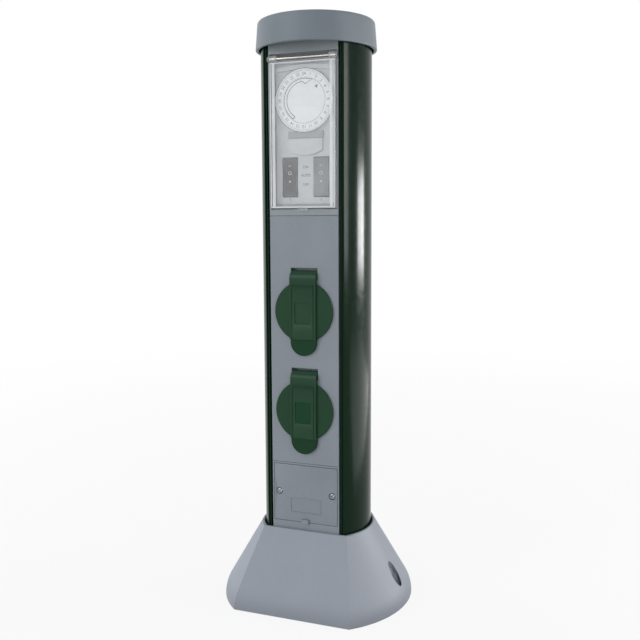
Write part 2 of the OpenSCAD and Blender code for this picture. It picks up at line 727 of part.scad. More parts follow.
// Flat gear with straight-sided teeth, its first tooth at the given angle.
module gear(teeth, first, up) let (p = gear_module * teeth / 2, add = 0.7 * gear_module,
        w = 360 / teeth)
    polygon([for (i = [0:teeth - 1]) each [for (q = [[-0.34, -1.1], [-0.15, up], [0.15, up],
        [0.34, -1.1]]) let (a = first + (i + q[0]) * w, r = p + q[1] * add)
            [r * cos(a), r * sin(a)]]]);

module hour_ring() color(white) translate([0, 0, dial_z]) difference() {
    union() {
        rod_y(0, 0, dial_r, dial_y, dial_y + dial_t);
        rod_y(0, 0, hub_r, dial_y + dial_t - e, gear_y);
        along_y(gear_y - e, gear_y + gear_t) gear(ring_teeth, -90, 0.8);
    }
    rod_y(0, 0, disc_r + run_gap, dial_y - 1, gear_y - 1.5);
    rod_y(0, 0, 4 + shaft_gap, dial_y, gear_y + gear_t + 1);
    for (i = [0:tappet_count - 1]) rotate([0, 360 / tappet_count * i, 0])
        tappet(seat_gap / 2);
}

// One switching tab in the rim of the hour ring.
module tappet(grow) let (w = PI * dial_r / tappet_count - 0.25 + grow)
    block([-w, dial_y - 0.1 - grow, dial_r - 2.3 - grow],
        [w, dial_y + 1.4 + grow, dial_r - 0.5 + grow]);

module tappets() color(white) translate([0, 0, dial_z])
    for (i = [0:tappet_count - 1]) rotate([0, 360 / tappet_count * i, 0]) tappet(0);

module centre_disc() color(white) translate([0, 0, dial_z]) {
    rod_y(0, 0, disc_r, dial_y - 0.1, dial_y + 1.9);
    rod_y(0, 0, 4, dial_y + 1.8, housing_end - 3.2);
}

module timer_motor() color(steel) difference() {
    rod_y(0, pinion_z, 13, motor_y, housing_end - 1.7);
    rod_y(0, pinion_z, 1.05, motor_y - 1, motor_y + 6.4);
}

module drive_pinion() color(brass) translate([0, 0, pinion_z]) {
    along_y(gear_y + 0.2, gear_y + gear_t) gear(pinion_teeth, 90 + 180 / pinion_teeth, 0.8);
    rod_y(0, 0, 1, gear_y + gear_t - 0.1, motor_y + 6);
}

// Rocker about its own pivot, with a dished face.
module rocker() color(black * 2) {
    intersection() {
        rod_x(rocker_axis_y, 0, rocker_reach, -rocker_w / 2, rocker_w / 2);
        along_x(-rocker_w / 2, rocker_w / 2) polygon([[rocker_face_y, -rocker_h],
            [rocker_face_y, -rocker_h / 2], [rocker_face_y + 1, 0], [rocker_face_y, rocker_h / 2],
            [rocker_face_y, rocker_h], [rocker_axis_y - 1.6, rocker_h],
            [rocker_axis_y + 2.4, 2.4], [rocker_axis_y + 2.4, -2.4],
            [rocker_axis_y - 1.6, -rocker_h]]);
    }
    rod_x(rocker_axis_y, 0, 1.5, -rocker_w / 2 - 1.4, rocker_w / 2 + 1.4);
}

module switch_body() color(black) difference() {
    block([-rocker_w / 2 - 2, fascia_y + fascia_t + 0.15, -body_h],
        [rocker_w / 2 + 2, -8, body_h]);
    block([-rocker_w / 2 - run_gap, front, -rocker_reach - 0.4],
        [rocker_w / 2 + run_gap, rocker_axis_y + 6, rocker_reach + 0.4]);
    rod_x(rocker_axis_y, 0, 1.5 + shaft_gap, -rocker_w, rocker_w);
}

module at_left() translate([-rocker_x, 0, rocker_z]) children();
module at_right() translate([rocker_x, 0, rocker_z]) children();
module left_rocker() at_left() rocker();
module right_rocker() at_right() rocker();
module left_switch_body() at_left() switch_body();
module right_switch_body() at_right() switch_body();

module window() color([0.8, 0.85, 0.9, 0.35]) difference() {
    union() {
        difference() {
            block([-window_x, front - window_y, window_z], [window_x, front + 1.9, hinge_z - 1.9]);
            block([-window_x + 1.5, front - window_y + 1.6, window_z + 1.5],
                [window_x - 1.5, front + 3, hinge_z - 3.4]);
        }
        for (s = [-1, 1]) {
            rod_x(window_axis_y, hinge_z, eye_r, s > 0 ? ear_x : -window_x,
                s > 0 ? window_x : -ear_x);
            block([s > 0 ? ear_x : -window_x, front - window_y, hinge_z - 3],
                [s > 0 ? window_x : -ear_x, front + 1.2, hinge_z]);
        }
        block([-latch_x, front - window_y - 0.6, window_z - 1.9],
            [latch_x, front - run_gap, window_z + 0.8]);
    }
    rod_x(window_axis_y, hinge_z, rod_r + shaft_gap, -window_x - 1, window_x + 1);
}

module window_rod() color(steel)
    rod_x(window_axis_y, hinge_z, rod_r, -panel_x + 0.1, panel_x - 0.1);

module window_seal() color(black * 3) difference() {
    block([-window_x + 0.2, front + 2.1, window_z + 0.2],
        [window_x - 0.2, recess_y - e, hinge_z - 2.4]);
    block([-opening_x - 0.5, front, window_z + 2], [opening_x + 0.5, recess_y + 1, hinge_z - 4]);
}

// Wires

module wire(pts, tone) color(tone) tube(pts, wire_r);

// Start of a wire at one of the three terminals.
function terminal_end(i) = [for (z = [block_z + block_h + 0.3, terminal_z + 8]) [poles[i], -13, z]];

// A wire from a terminal up behind the sockets to the back of the timer.
module riser(i, x, y, tone) wire(concat(terminal_end(i), [[x, y, terminal_z + 20],
    [x, y, rocker_z - 5], [x, housing_end + 0.2, rocker_z - 5]]), tone);
module live_feed() riser(0, -12.3, bus_y, [0.35, 0.2, 0.12]);
module neutral_wire() riser(1, -4.5, bus_y, [0.15, 0.25, 0.6]);
module earth_wire() wire(concat(terminal_end(2), [[2, bus_y - 2, terminal_z + 22],
    [2, bus_y - 2, upper_z + clip_z], [2, insert_end + 4.2, upper_z + clip_z]]), [0.3, 0.6, 0.2]);

// A wire from a switch down to a socket's contact.
module switched(x, c, tone) wire([[1.65 * x, housing_end + 0.2, rocker_z - 16],
    [1.65 * x, bus_y + 5, rocker_z - 16], [1.65 * x, bus_y + 5, c + 24], [x, bus_y + 3, c],
    [x, insert_end + 11.7, c]], tone);
module upper_switched_live() switched(-pole_x, upper_z, black);
module lower_switched_live() switched(pole_x, lower_z, black);

foot();
base_plate();
base_screws();
foot_screws();
left_side_shell();
right_side_shell();
rear_panel();
rear_screws();
cap();
cap_screw();
terminal_frame();
terminal_cover();
cover_screws();
cover_seal();
terminal_block();
terminal_screws();
cable_grommet();
cord_clamp();
clamp_screws();
socket_panel();
upper_lid();
upper_lid_pin();
upper_lid_spring();
upper_lid_seal();
upper_socket_insert();
upper_contacts();
upper_earth_clips();
lower_lid();
lower_lid_pin();
lower_lid_spring();
lower_lid_seal();
lower_socket_insert();
lower_contacts();
lower_earth_clips();
timer_frame();
timer_fascia();
timer_housing();
hour_ring();
tappets();
centre_disc();
timer_motor();
drive_pinion();
left_rocker();
right_rocker();
left_switch_body();
right_switch_body();
window();
window_rod();
window_seal();
live_feed();
neutral_wire();
earth_wire();
upper_switched_live();
lower_switched_live();
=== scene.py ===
"""Looks of a garden power column with a clock timer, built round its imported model."""
import json
import logging
import math
from dataclasses import dataclass
from enum import Enum
from typing import Callable, Optional, Sequence, Union

import bmesh
import bpy
from mathutils import Euler, Matrix, Vector


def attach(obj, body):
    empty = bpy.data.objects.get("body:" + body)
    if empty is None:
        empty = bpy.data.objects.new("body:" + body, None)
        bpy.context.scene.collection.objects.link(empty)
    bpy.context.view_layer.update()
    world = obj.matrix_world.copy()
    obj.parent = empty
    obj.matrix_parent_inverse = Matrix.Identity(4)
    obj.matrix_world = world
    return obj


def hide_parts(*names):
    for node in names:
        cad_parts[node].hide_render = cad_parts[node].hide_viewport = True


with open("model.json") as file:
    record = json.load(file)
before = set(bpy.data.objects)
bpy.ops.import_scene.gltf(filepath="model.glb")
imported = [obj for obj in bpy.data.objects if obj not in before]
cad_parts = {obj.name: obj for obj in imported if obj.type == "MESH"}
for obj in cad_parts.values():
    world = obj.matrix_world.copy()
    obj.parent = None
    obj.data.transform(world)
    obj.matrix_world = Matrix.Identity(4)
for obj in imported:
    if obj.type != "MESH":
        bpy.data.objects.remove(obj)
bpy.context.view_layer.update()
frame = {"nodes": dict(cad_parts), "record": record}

LOG = logging.getLogger("timer_socket")
MM = 0.001
# Y of the panels' faces
FRONT = -31.3 * MM
# How far a cutter reaches beyond what it cuts
OVER = 1 * MM
# How near to a plane counts as on it
NEAR = 0.02 * MM
# Angle in degrees from which an edge stays sharp
CREASE = 32
Point = tuple[float, float]
Place = tuple[float, float, float]
Colour = tuple[float, float, float]
Number = Union["Sock", float, int]
BMesh = bmesh.types.BMesh
Object = bpy.types.Object
Pick = Callable[[Vector, Vector], bool]


def srgb(red: float, green: float, blue: float) -> Colour:
    """Turns a screen colour into the linear colour that shaders take.

    Args:
        red, green, blue: the screen colour's channels from 0 to 255.

    Returns:
        The three linear channels.
    """
    def linear(channel: float) -> float:
        """One channel, by the sRGB curve."""
        c = channel / 255
        return c / 12.92 if c <= 0.04045 else ((c + 0.055) / 1.055) ** 2.4
    return linear(red), linear(green), linear(blue)


class Side(Enum):
    """Left or right as seen from the front, as a sign along X."""

    LEFT = -1
    RIGHT = 1


class Sock:
    """A node's output, on which Python's operators build Math nodes."""

    def __init__(self, graph: "Graph", socket: bpy.types.NodeSocket) -> None:
        """Keeps the socket and the graph that it belongs to."""
        self.graph = graph
        self.socket = socket

    def _math(self, operation: str, *values: Number) -> "Sock":
        """Adds a Math node with its inputs in order."""
        return self.graph.node("ShaderNodeMath", {"operation": operation}, dict(enumerate(values)))

    def __add__(self, other: Number) -> "Sock":
        """Sum."""
        return self._math("ADD", self, other)

    def __sub__(self, other: Number) -> "Sock":
        """Difference."""
        return self._math("SUBTRACT", self, other)

    def __rsub__(self, other: Number) -> "Sock":
        """Difference from a number."""
        return self._math("SUBTRACT", other, self)

    def __mul__(self, other: Number) -> "Sock":
        """Product."""
        return self._math("MULTIPLY", self, other)

    __radd__ = __add__
    __rmul__ = __mul__

    def ramp(self, out_low: float = 0.0, out_high: float = 1.0, low: float = 0.3,
             high: float = 0.7) -> "Sock":
        """Maps the range low to high, at first that of a noise, smoothly on another."""
        return self.graph.node("ShaderNodeMapRange", {"interpolation_type": "SMOOTHSTEP"},
                               {"Value": self, "From Min": low, "From Max": high,
                                "To Min": out_low, "To Max": out_high})


class Graph:
    """A node tree under construction."""

    def __init__(self, tree: bpy.types.NodeTree) -> None:
        """Takes a tree and empties it."""
        self.tree = tree
        self.tree.nodes.clear()

    def make(self, kind: str, settings: Optional[dict] = None,
             values: Optional[dict] = None) -> bpy.types.Node:
        """Adds any node.

        Args:
            kind: the node's type.
            settings: its properties, which are set first.
            values: numbers, colours or links by socket name or place.

        Returns:
            The node.
        """
        made = self.tree.nodes.new(kind)
        for key, value in (settings or {}).items():
            setattr(made, key, value)
        for key, value in (values or {}).items():
            self.put(made.inputs[key], value)
        return made

    def node(self, kind: str, settings: Optional[dict] = None, values: Optional[dict] = None,
             out: Union[int, str] = 0) -> Sock:
        """Adds a node as make does and gives the output that out names."""
        return Sock(self, self.make(kind, settings, values).outputs[out])

    def put(self, socket: bpy.types.NodeSocket, value: Union[Number, Sequence[float]]) -> None:
        """Sets a socket or links it.

        Args:
            socket: the input.
            value: a number, a colour, a vector or another node's output.
        """
        if isinstance(value, Sock):
            self.tree.links.new(value.socket, socket)
        elif socket.type == "RGBA":
            socket.default_value = (*value, 1.0)
        else:
            socket.default_value = value


class Shader(Graph):
    """A material under construction."""

    def __init__(self, name: str) -> None:
        """Makes an empty material with its main shader and its output.

        Args:
            name: the material's name.
        """
        self.material = bpy.data.materials.new(name)
        self.material.use_nodes = True
        super().__init__(self.material.node_tree)
        self.main = self.make("ShaderNodeBsdfPrincipled")
        self.plain = Sock(self, self.main.outputs[0])
        self.output = self.make("ShaderNodeOutputMaterial", values={"Surface": self.plain})

    def surface(self, **values: Union[Number, Sequence[float]]) -> None:
        """Sets the main shader's sockets, with underscores for the spaces in their names."""
        for key, value in values.items():
            self.put(self.main.inputs[key.replace("_", " ").title().replace("Ior", "IOR")], value)

    def place(self, stretch: Sequence[float] = (1, 1, 1)) -> Sock:
        """Place on the object, in metres, stretched along its axes."""
        place = self.node("ShaderNodeTexCoord", out="Object")
        return self.node("ShaderNodeVectorMath", {"operation": "MULTIPLY"},
                         {0: place, 1: tuple(stretch)})

    def height(self) -> Sock:
        """Height on the object, in metres."""
        return self.node("ShaderNodeSeparateXYZ", values={0: self.place()}, out="Z")

    def noise(self, size: float, detail: float = 2.0, stretch: Sequence[float] = (1, 1, 1)) -> Sock:
        """Soft noise around one half, with blotches of a size in metres and some finer layers."""
        return self.node("ShaderNodeTexNoise", values={"Vector": self.place(stretch),
                                                       "Scale": 1 / size, "Detail": detail})

    def blend(self, first: Union[Sock, Colour], second: Union[Sock, Colour], mask: Number) -> Sock:
        """Mixes two colours, the first where the mask is zero and the second where it is one."""
        return self.node("ShaderNodeMix", {"data_type": "RGBA"},
                         {0: mask, 6: first, 7: second}, out=2)

    def bump(self, height: Sock, depth: float, before: Optional[Sock] = None) -> Sock:
        """Roughens the surface.

        Args:
            height: the relief from 0 to 1.
            depth: what 1 is in metres.
            before: an earlier relief to build on.

        Returns:
            The bent normal.
        """
        values = {"Height": height, "Distance": depth, "Strength": 1.0}
        if before is not None:
            values["Normal"] = before
        return self.node("ShaderNodeBump", values=values)


def shade(colour: Colour, factor: float) -> Colour:
    """The colour made lighter or darker by a factor."""
    return tuple(min(1.0, c * factor) for c in colour)


@dataclass(frozen=True)
class Moulded:
    """Moulded plastic with a fine spark-eroded grain, faint flow marks and, if asked, painted shade
    that darkens it towards the floor.
    """

    name: str
    colour: Colour
    roughness: float = 0.42
    grain: float = 0.35 * MM
    depth: float = 0.012 * MM
    mottle: float = 0.05
    gloss: float = 0.5
    # soiled and soil: height and depth of a painted shade towards the floor
    soiled: float = 0.0
    soil: float = 0.84
    cloud: float = 38 * MM
    speck: float = 1.6 * MM

    def build(self) -> bpy.types.Material:
        """Makes the material.

        Returns:
            The material.
        """
        s = Shader(self.name)
        cloud = s.noise(self.cloud, 3.0, (1, 1, 0.6))
        speck = s.noise(self.speck, 2.0)
        grain = s.noise(self.grain, 3.0)
        colour = s.blend(shade(self.colour, 1 - self.mottle), shade(self.colour, 1 + self.mottle),
                         (cloud * 0.7 + speck * 0.3).ramp())
        # Painted shade: the colour darkens towards the floor, where the skirt turns down into shade
        if self.soiled:
            low = 1 - s.height().ramp(low=1 * MM, high=self.soiled)
            colour = s.blend(colour, shade(self.colour, self.soil), low * (0.7 + cloud * 0.6))
        dull = (grain * 0.5 + cloud * 0.5).ramp(self.roughness - 0.05, self.roughness + 0.06)
        s.surface(base_color=colour, roughness=dull, normal=s.bump(grain, self.depth), ior=1.47,
                  specular_ior_level=self.gloss)
        return s.material


@dataclass(frozen=True)
class Extruded:
    """Glossy extruded plastic with fine draw lines along its length."""

    name: str
    colour: Colour
    roughness: float = 0.2
    line: float = 0.9 * MM
    line_depth: float = 0.004 * MM
    wave: float = 22 * MM
    wave_depth: float = 0.05 * MM
    dust: float = 5 * MM

    def build(self) -> bpy.types.Material:
        """Makes the material.

        Returns:
            The material.
        """
        s = Shader(self.name)
        lines = s.noise(self.line, 3.0, (1, 1, 0.012))
        waves = s.noise(self.wave, 2.0, (1, 1, 0.18))
        dust = s.noise(self.dust, 4.0)
        tone = (waves * 0.6 + lines * 0.4).ramp()
        dull = (dust * 0.6 + lines * 0.4).ramp(self.roughness - 0.03, self.roughness + 0.07,
                                               high=0.75)
        relief = s.bump(lines, self.line_depth, s.bump(waves, self.wave_depth))
        s.surface(base_color=s.blend(shade(self.colour, 0.86), shade(self.colour, 1.18), tone),
                  roughness=dull, normal=relief, ior=1.5, specular_ior_level=0.09)
        return s.material


@dataclass(frozen=True)
class Metal:
    """Drawn or plated metal."""

    name: str
    colour: Colour
    roughness: float = 0.25
    along: Place = (1, 1, 1)
    line: float = 0.5 * MM
    line_depth: float = 0.004 * MM
    stain: float = 4 * MM

    def build(self) -> bpy.types.Material:
        """Makes the material.

        Returns:
            The material.
        """
        s = Shader(self.name)
        lines = s.noise(self.line, 3.0, self.along)
        stain = s.noise(self.stain, 3.0).ramp(high=0.6)
        s.surface(base_color=s.blend(shade(self.colour, 0.88), self.colour, stain), metallic=1.0,
                  roughness=lines.ramp(self.roughness - 0.08, self.roughness + 0.1),
                  normal=s.bump(lines, self.line_depth))
        return s.material


@dataclass(frozen=True)
class Clear:
    """Clear moulded window, slightly milky, that lets the camera see through it."""

    name: str
    tint: Colour
    haze: float
    wave: float = 14 * MM
    wave_depth: float = 0.12 * MM
    scuff: float = 1.1 * MM

    def build(self) -> bpy.types.Material:
        """Makes the material.

        Returns:
            The material.
        """
        s = Shader(self.name)
        waves = s.noise(self.wave, 2.0)
        scuff = s.noise(self.scuff, 4.0, (1, 1, 0.5))
        milky = (scuff * 0.35 + waves * 0.65).ramp(self.haze - 0.03, self.haze + 0.04)
        s.surface(base_color=self.tint, roughness=0.08, ior=1.46, alpha=milky,
                  normal=s.bump(waves, self.wave_depth), coat_weight=0.25)
        return s.material


def lid_plastic(name: str, colour: Colour, gloss: float) -> Moulded:
    """Moulded plastic with the fine grain of the lids."""
    return Moulded(name, colour, 0.44, 0.3 * MM, 0.008 * MM, 0.06, gloss)


def clean_plastic(name: str, colour: Colour, roughness: float = 0.5) -> Moulded:
    """Moulded plastic of the dial, even and almost smooth."""
    return Moulded(name, colour, roughness, 0.3 * MM, 0.004 * MM, 0.012)


def ink(name: str, colour: Colour) -> Moulded:
    """Printing ink, flat and dull."""
    return Moulded(name, colour, 0.6, 0.3 * MM, 0.002 * MM, 0.03)


def rubber(name: str, colour: Colour, roughness: float) -> Moulded:
    """Rubber with a coarse grain."""
    return Moulded(name, colour, roughness, 0.5 * MM, 0.02 * MM)


class Finish(Enum):
    """Every finish of the object, by the record's slot."""

    PANEL = Moulded("grey_plastic", srgb(136, 143, 151), 0.48, gloss=0.3)
    # The foot's last number is the height of its painted shade near the floor
    FOOT = Moulded("foot_plastic", srgb(152, 158, 169), 0.55, 0.4 * MM, 0.02 * MM, 0.035, 0.25,
                   19 * MM)
    CAP = Moulded("cap_plastic", srgb(118, 127, 135), 0.46, gloss=0.3)
    FRAME = Moulded("timer_grey", srgb(138, 145, 149), 0.44)
    FASCIA = Moulded("fascia_grey", srgb(200, 205, 208), 0.5)
    # Painted shadow: a darker copy of the fascia's grey for the ledge under the dial
    LEDGE = Moulded("fascia_painted_shadow", srgb(150, 156, 160), 0.5)
    SOCKET = Moulded("socket_grey", srgb(96, 102, 108), 0.4)
    BASE = Moulded("base_black", srgb(52, 53, 55), 0.6)
    SHELL = Extruded("dark_green", srgb(10, 36, 22), 0.17)
    LID = lid_plastic("lid_green", srgb(24, 60, 38), 0.22)
    STRAP = lid_plastic("lid_green_strap", srgb(27, 62, 41), 0.25)
    TAB = lid_plastic("lid_green_tab", srgb(12, 52, 29), 0.2)
    INLAY = lid_plastic("lid_green_inlay", srgb(6, 58, 32), 0.2)
    DIAL = clean_plastic("dial_white", srgb(243, 245, 246))
    TAPPET = clean_plastic("tappet_white", srgb(232, 235, 238))
    DISC = clean_plastic("disc_white", srgb(240, 242, 244), 0.46)
    PRINT = ink("grey_print", srgb(74, 79, 86))
    PALE_PRINT = ink("pale_print", srgb(130, 135, 140))
    LIGHT_PRINT = ink("light_print", srgb(205, 208, 210))
    ROCKER = Moulded("rocker_black", srgb(40, 44, 49))
    # Painted glare: a paler copy of the rocker's black, for the right rocker seen through the
    # window's glare
    ROCKER_PALE = Moulded("rocker_painted_glare", srgb(119, 124, 129))
    HOUSING = Moulded("housing_black", srgb(42, 43, 45), 0.55)
    RUBBER = rubber("black_rubber", srgb(32, 32, 33), 0.75)
    SEAL = rubber("white_rubber", srgb(176, 181, 185), 0.7)
    STEEL = Metal("bright_steel", srgb(214, 208, 202), 0.2, (0.03, 1, 1))
    ZINC = Metal("zinc", srgb(178, 181, 186), 0.34)
    SCREW = Metal("screw_steel", srgb(154, 159, 166), 0.25)
    BRASS = Metal("brass", srgb(203, 170, 104), 0.3)
    CLEAR = Clear("clear_plastic", srgb(246, 249, 250), 0.13)
    # Painted highlight: a milkier copy of the clear plastic for the window's walls, rim and glare
    # bands
    CLEAR_EDGE = Clear("clear_edge", srgb(250, 252, 253), 0.55)
    BROWN = Moulded("wire_brown", srgb(96, 62, 40), 0.45)
    BLUE = Moulded("wire_blue", srgb(44, 74, 150), 0.45)
    EARTH = Moulded("wire_green", srgb(92, 156, 60), 0.45)
    BLACK = Moulded("wire_black", srgb(34, 34, 36), 0.45)

    @property
    def material(self) -> bpy.types.Material:
        """The finish's material, made on first use.

        Returns:
            The material, the same one each time.
        """
        found = bpy.data.materials.get(self.value.name + ".finish")
        if found is None:
            found = self.value.build()
            found.name = self.value.name + ".finish"
        return found


COLUMN = "column"
LIDS: dict[str, tuple[float, Optional[Finish]]] = {
    "upper_lid": (255.6 * MM, None), "lower_lid": (170.5 * MM, Finish.INLAY)}


def arc(centre: Point, radius: float, start: float, end: float, steps: int) -> list[Point]:
    """Points on an arc round a centre, between angles in degrees, one more than its steps."""
    turn = [math.radians(start + (end - start) * i / steps) for i in range(steps + 1)]
    return [(centre[0] + radius * math.cos(a), centre[1] + radius * math.sin(a)) for a in turn]


def flank(wide: float, half: float, fillet: float, steps: int = 40,
          shift: float = 0.0) -> list[Point]:
    """Right half of a round that is cut flat at front and back, with filleted corners.

    Args:
        wide: half width of the round.
        half: distance of the flats from the middle.
        fillet: radius of the corners.
        steps: pieces of the round side.
        shift: how far beyond the middle the side's arc is centred.

    Returns:
        Points from the front corner to the rear corner.
    """
    radius = wide + shift
    along = math.sqrt((radius - fillet) ** 2 - (half - fillet) ** 2)
    edge = math.degrees(math.atan2(half - fillet, along))
    x = along - shift
    return (arc((x, fillet - half), fillet, -90, -edge, 6)
            + arc((-shift, 0), radius, -edge, edge, steps)[1:-1]
            + arc((x, half - fillet), fillet, edge, 90, 6))


def flat_round(wide: float, half: float, fillet: float, shift: float = 0.0) -> list[Point]:
    """Whole outline of a round that is cut flat at front and back.

    Args:
        wide, half, fillet, shift: as for flank.

    Returns:
        The outline, anticlockwise, with points along its flats.
    """
    right = flank(wide, half, fillet, shift=shift)
    left = [(-x, -y) for x, y in right]
    x = right[-1][0]
    along = [x * (1 - 2 * i / 12) for i in range(1, 12)]
    return right + [(a, half) for a in along] + left + [(-a, -half) for a in along]


def loft(rings: Sequence[Sequence[Sequence[float]]], caps: bool = True) -> BMesh:
    """Skins a row of rings.

    Args:
        rings: rings of points, each with as many points as the next.
        caps: whether the first and the last ring are closed.

    Returns:
        The skin.
    """
    bm = bmesh.new()
    made = [[bm.verts.new(point) for point in ring] for ring in rings]
    for low, high in zip(made, made[1:]):
        for i in range(len(low)):
            j = (i + 1) % len(low)
            bm.faces.new((low[i], low[j], high[j], high[i]))
    if caps:
        bm.faces.new(list(reversed(made[0])))
        bm.faces.new(made[-1])
    return bm


def prism(outline: Sequence[Point], low: float, high: float, axis: str = "Z") -> BMesh:
    """Extrudes an outline.

    Args:
        outline: its points in X and Y, in X and Z for axis Y, or in Y and Z for axis X.
        low, high: where it starts and ends along the axis.
        axis: the axis.

    Returns:
        The closed body.
    """
    def point(p: Point, t: float) -> Place:
        """One corner at one end."""
        return {"X": (t, *p), "Y": (p[0], t, p[1]), "Z": (*p, t)}[axis]
    return loft([[point(p, t) for p in outline] for t in (low, high)])


def lathe(profile: Sequence[Point], centre: Sequence[float] = (0, 0, 0), axis: str = "Z",
          steps: int = 96, closed: bool = False) -> BMesh:
    """Turns a profile round an axis.

    Args:
        profile: points as (radius, place along the axis).
        centre: a point on the axis.
        axis: X, Y or Z.
        steps: pieces round the turn.
        closed: whether the profile's end joins its start.

    Returns:
        The turned body, closed at ends that lie on the axis.
    """
    place = {"X": lambda r, t, c, s: (t, r * c, r * s), "Y": lambda r, t, c, s: (r * c, t, r * s),
             "Z": lambda r, t, c, s: (r * c, r * s, t)}[axis]
    bm = bmesh.new()
    rows = []
    for r, t in profile:
        count = 1 if r < 1e-7 else steps
        turn = [2 * math.pi * i / steps for i in range(count)]
        rows.append([bm.verts.new(Vector(place(r, t, math.cos(a), math.sin(a))) + Vector(centre))
                     for a in turn])
    pairs = list(zip(rows, rows[1:])) + ([(rows[-1], rows[0])] if closed else [])
    for low, high in pairs:
        for i in range(steps):
            j = (i + 1) % steps
            quad = [low[i % len(low)], low[j % len(low)], high[j % len(high)], high[i % len(high)]]
            unique = list(dict.fromkeys(quad))
            if len(unique) > 2:
                bm.faces.new(unique)
    return bm


def rod(radius: float, low: float, high: float) -> list[Point]:
    """Profile of a plain rod between two places on its axis, for lathe."""
    return [(0, low), (radius, low), (radius, high), (0, high)]


def box(low: Sequence[float], high: Sequence[float]) -> BMesh:
    """A closed box between two corners."""
    return prism([(low[0], low[1]), (high[0], low[1]), (high[0], high[1]), (low[0], high[1])],
                 low[2], high[2])


def slab(half: float, y: Point, z: Point) -> BMesh:
    """A closed box across the middle, from its half width and its ranges along Y and Z."""
    return box((-half, y[0], z[0]), (half, y[1], z[1]))


def as_mesh(name: str, bm: BMesh) -> bpy.types.Mesh:
    """Turns a mesh under construction into a named one.

    Args:
        name: the mesh's name.
        bm: the mesh under construction, used up.

    Returns:
        The mesh.
    """
    mesh = bpy.data.meshes.new(name)
    bm.to_mesh(mesh)
    bm.free()
    return mesh


def placed(name: str, data: bpy.types.ID) -> Object:
    """Puts a new object in the scene.

    Args:
        name: the object's name.
        data: its mesh, lamp, camera or letters.

    Returns:
        The object.
    """
    made = bpy.data.objects.new(name, data)
    bpy.context.scene.collection.objects.link(made)
    return made


def shape_now(carrier: Object) -> bpy.types.Mesh:
    """The object's shape after its modifiers, as a new mesh."""
    graph = bpy.context.evaluated_depsgraph_get()
    return bpy.data.meshes.new_from_object(carrier.evaluated_get(graph))


def joined(*parts: BMesh) -> BMesh:
    """Puts several meshes in one.

    Args:
        parts: the meshes, of which all but the first are used up.

    Returns:
        The first mesh, with the others in it.
    """
    whole = parts[0]
    for part in parts[1:]:
        kept = as_mesh("part", part)
        whole.from_mesh(kept)
        bpy.data.meshes.remove(kept)
    return whole


def moved(bm: BMesh, shift: Sequence[float], turn: Optional[Matrix] = None) -> BMesh:
    """Turns a mesh if a rotation is given, then shifts it, in place, and returns it."""
    bm.transform(Matrix.Translation(shift) @ (turn or Matrix.Identity(4)))
    return bm


def rounded(bm: BMesh, size: float, segments: int = 3,
            where: Pick = lambda a, b: True, angle: float = 40) -> BMesh:
    """Rounds the edges that a test picks.

    Args:
        bm: the mesh.
        size: how far the rounding reaches from the edge.
        segments: its steps.
        where: tells from an edge's two ends whether it is rounded.
        angle: least angle in degrees between the edge's faces.

    Returns:
        The same mesh.
    """
    bmesh.ops.recalc_face_normals(bm, faces=bm.faces)
    limit = math.radians(angle)
    edges = [e for e in bm.edges if len(e.link_faces) == 2 and e.calc_face_angle() > limit
             and where(e.verts[0].co, e.verts[1].co)]
    bmesh.ops.bevel(bm, geom=edges, offset=size, segments=segments, profile=0.5,
                    affect="EDGES", clamp_overlap=True)
    return bm


def piece(name: str, bm: BMesh, finish: Finish, body: str = COLUMN,
          stands_for: Sequence[str] = (), crease: float = CREASE) -> Object:
    """Makes an object of a mesh, dresses it and seats it on its body.

    Args:
        name: the piece's name.
        bm: its mesh, which is used up.
        finish: its finish.
        body: the moving body that carries it.
        stands_for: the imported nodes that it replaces.
        crease: angle in degrees from which an edge stays sharp.

    Returns:
        The new object.
    """
    bmesh.ops.recalc_face_normals(bm, faces=bm.faces)
    mesh = as_mesh(name, bm)
    made = placed(name, mesh)
    mesh.materials.append(finish.material)
    mesh.shade_smooth()
    mesh.set_sharp_from_angle(angle=math.radians(crease))
    made.modifiers.new("even_normals", "WEIGHTED_NORMAL").keep_sharp = True
    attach(made, body)
    if stands_for:
        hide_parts(*stands_for)
    LOG.info("%s: %d faces, %s", name, len(mesh.polygons), finish.value.name)
    return made


def cut(target: Object, cutter: BMesh) -> None:
    """Cuts a closed mesh out of an object.

    Args:
        target: the object.
        cutter: what is taken away, used up.
    """
    bmesh.ops.recalc_face_normals(cutter, faces=cutter.faces)
    mesh = as_mesh("cutter", cutter)
    tool = placed("cutter", mesh)
    change = target.modifiers.new("cut", "BOOLEAN")
    change.operation = "DIFFERENCE"
    change.solver = "EXACT"
    change.object = tool
    result = shape_now(target)
    target.modifiers.clear()
    old = target.data
    result.name = old.name
    target.data = result
    bpy.data.objects.remove(tool)
    bpy.data.meshes.remove(mesh)
    bpy.data.meshes.remove(old)
    result.set_sharp_from_angle(angle=math.radians(CREASE))


def softened(node: str, finish: Finish, where: Pick, edge: float = 0.4 * MM,
             body: str = COLUMN) -> Object:
    """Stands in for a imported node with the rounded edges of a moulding.

    Args:
        node: the node.
        finish: its finish.
        where: tells from an edge's two ends whether it is rounded.
        edge: how far the rounding reaches.
        body: the moving body that carries it.

    Returns:
        The new object.
    """
    source = frame["nodes"][node]
    bm = bmesh.new()
    bm.from_mesh(source.data)
    bm.transform(source.matrix_world)
    bmesh.ops.remove_doubles(bm, verts=bm.verts, dist=0.002 * MM)
    bmesh.ops.dissolve_limit(bm, angle_limit=math.radians(1), verts=bm.verts, edges=bm.edges)
    return piece(node + ".moulded", rounded(bm, edge, 3, where), finish, body, (node,))


def on_plane(axis: int, value: float) -> Pick:
    """A test for edges that lie in a plane across an axis (0 to 2) at a value in metres."""
    return lambda a, b: abs(a[axis] - value) < NEAR and abs(b[axis] - value) < NEAR


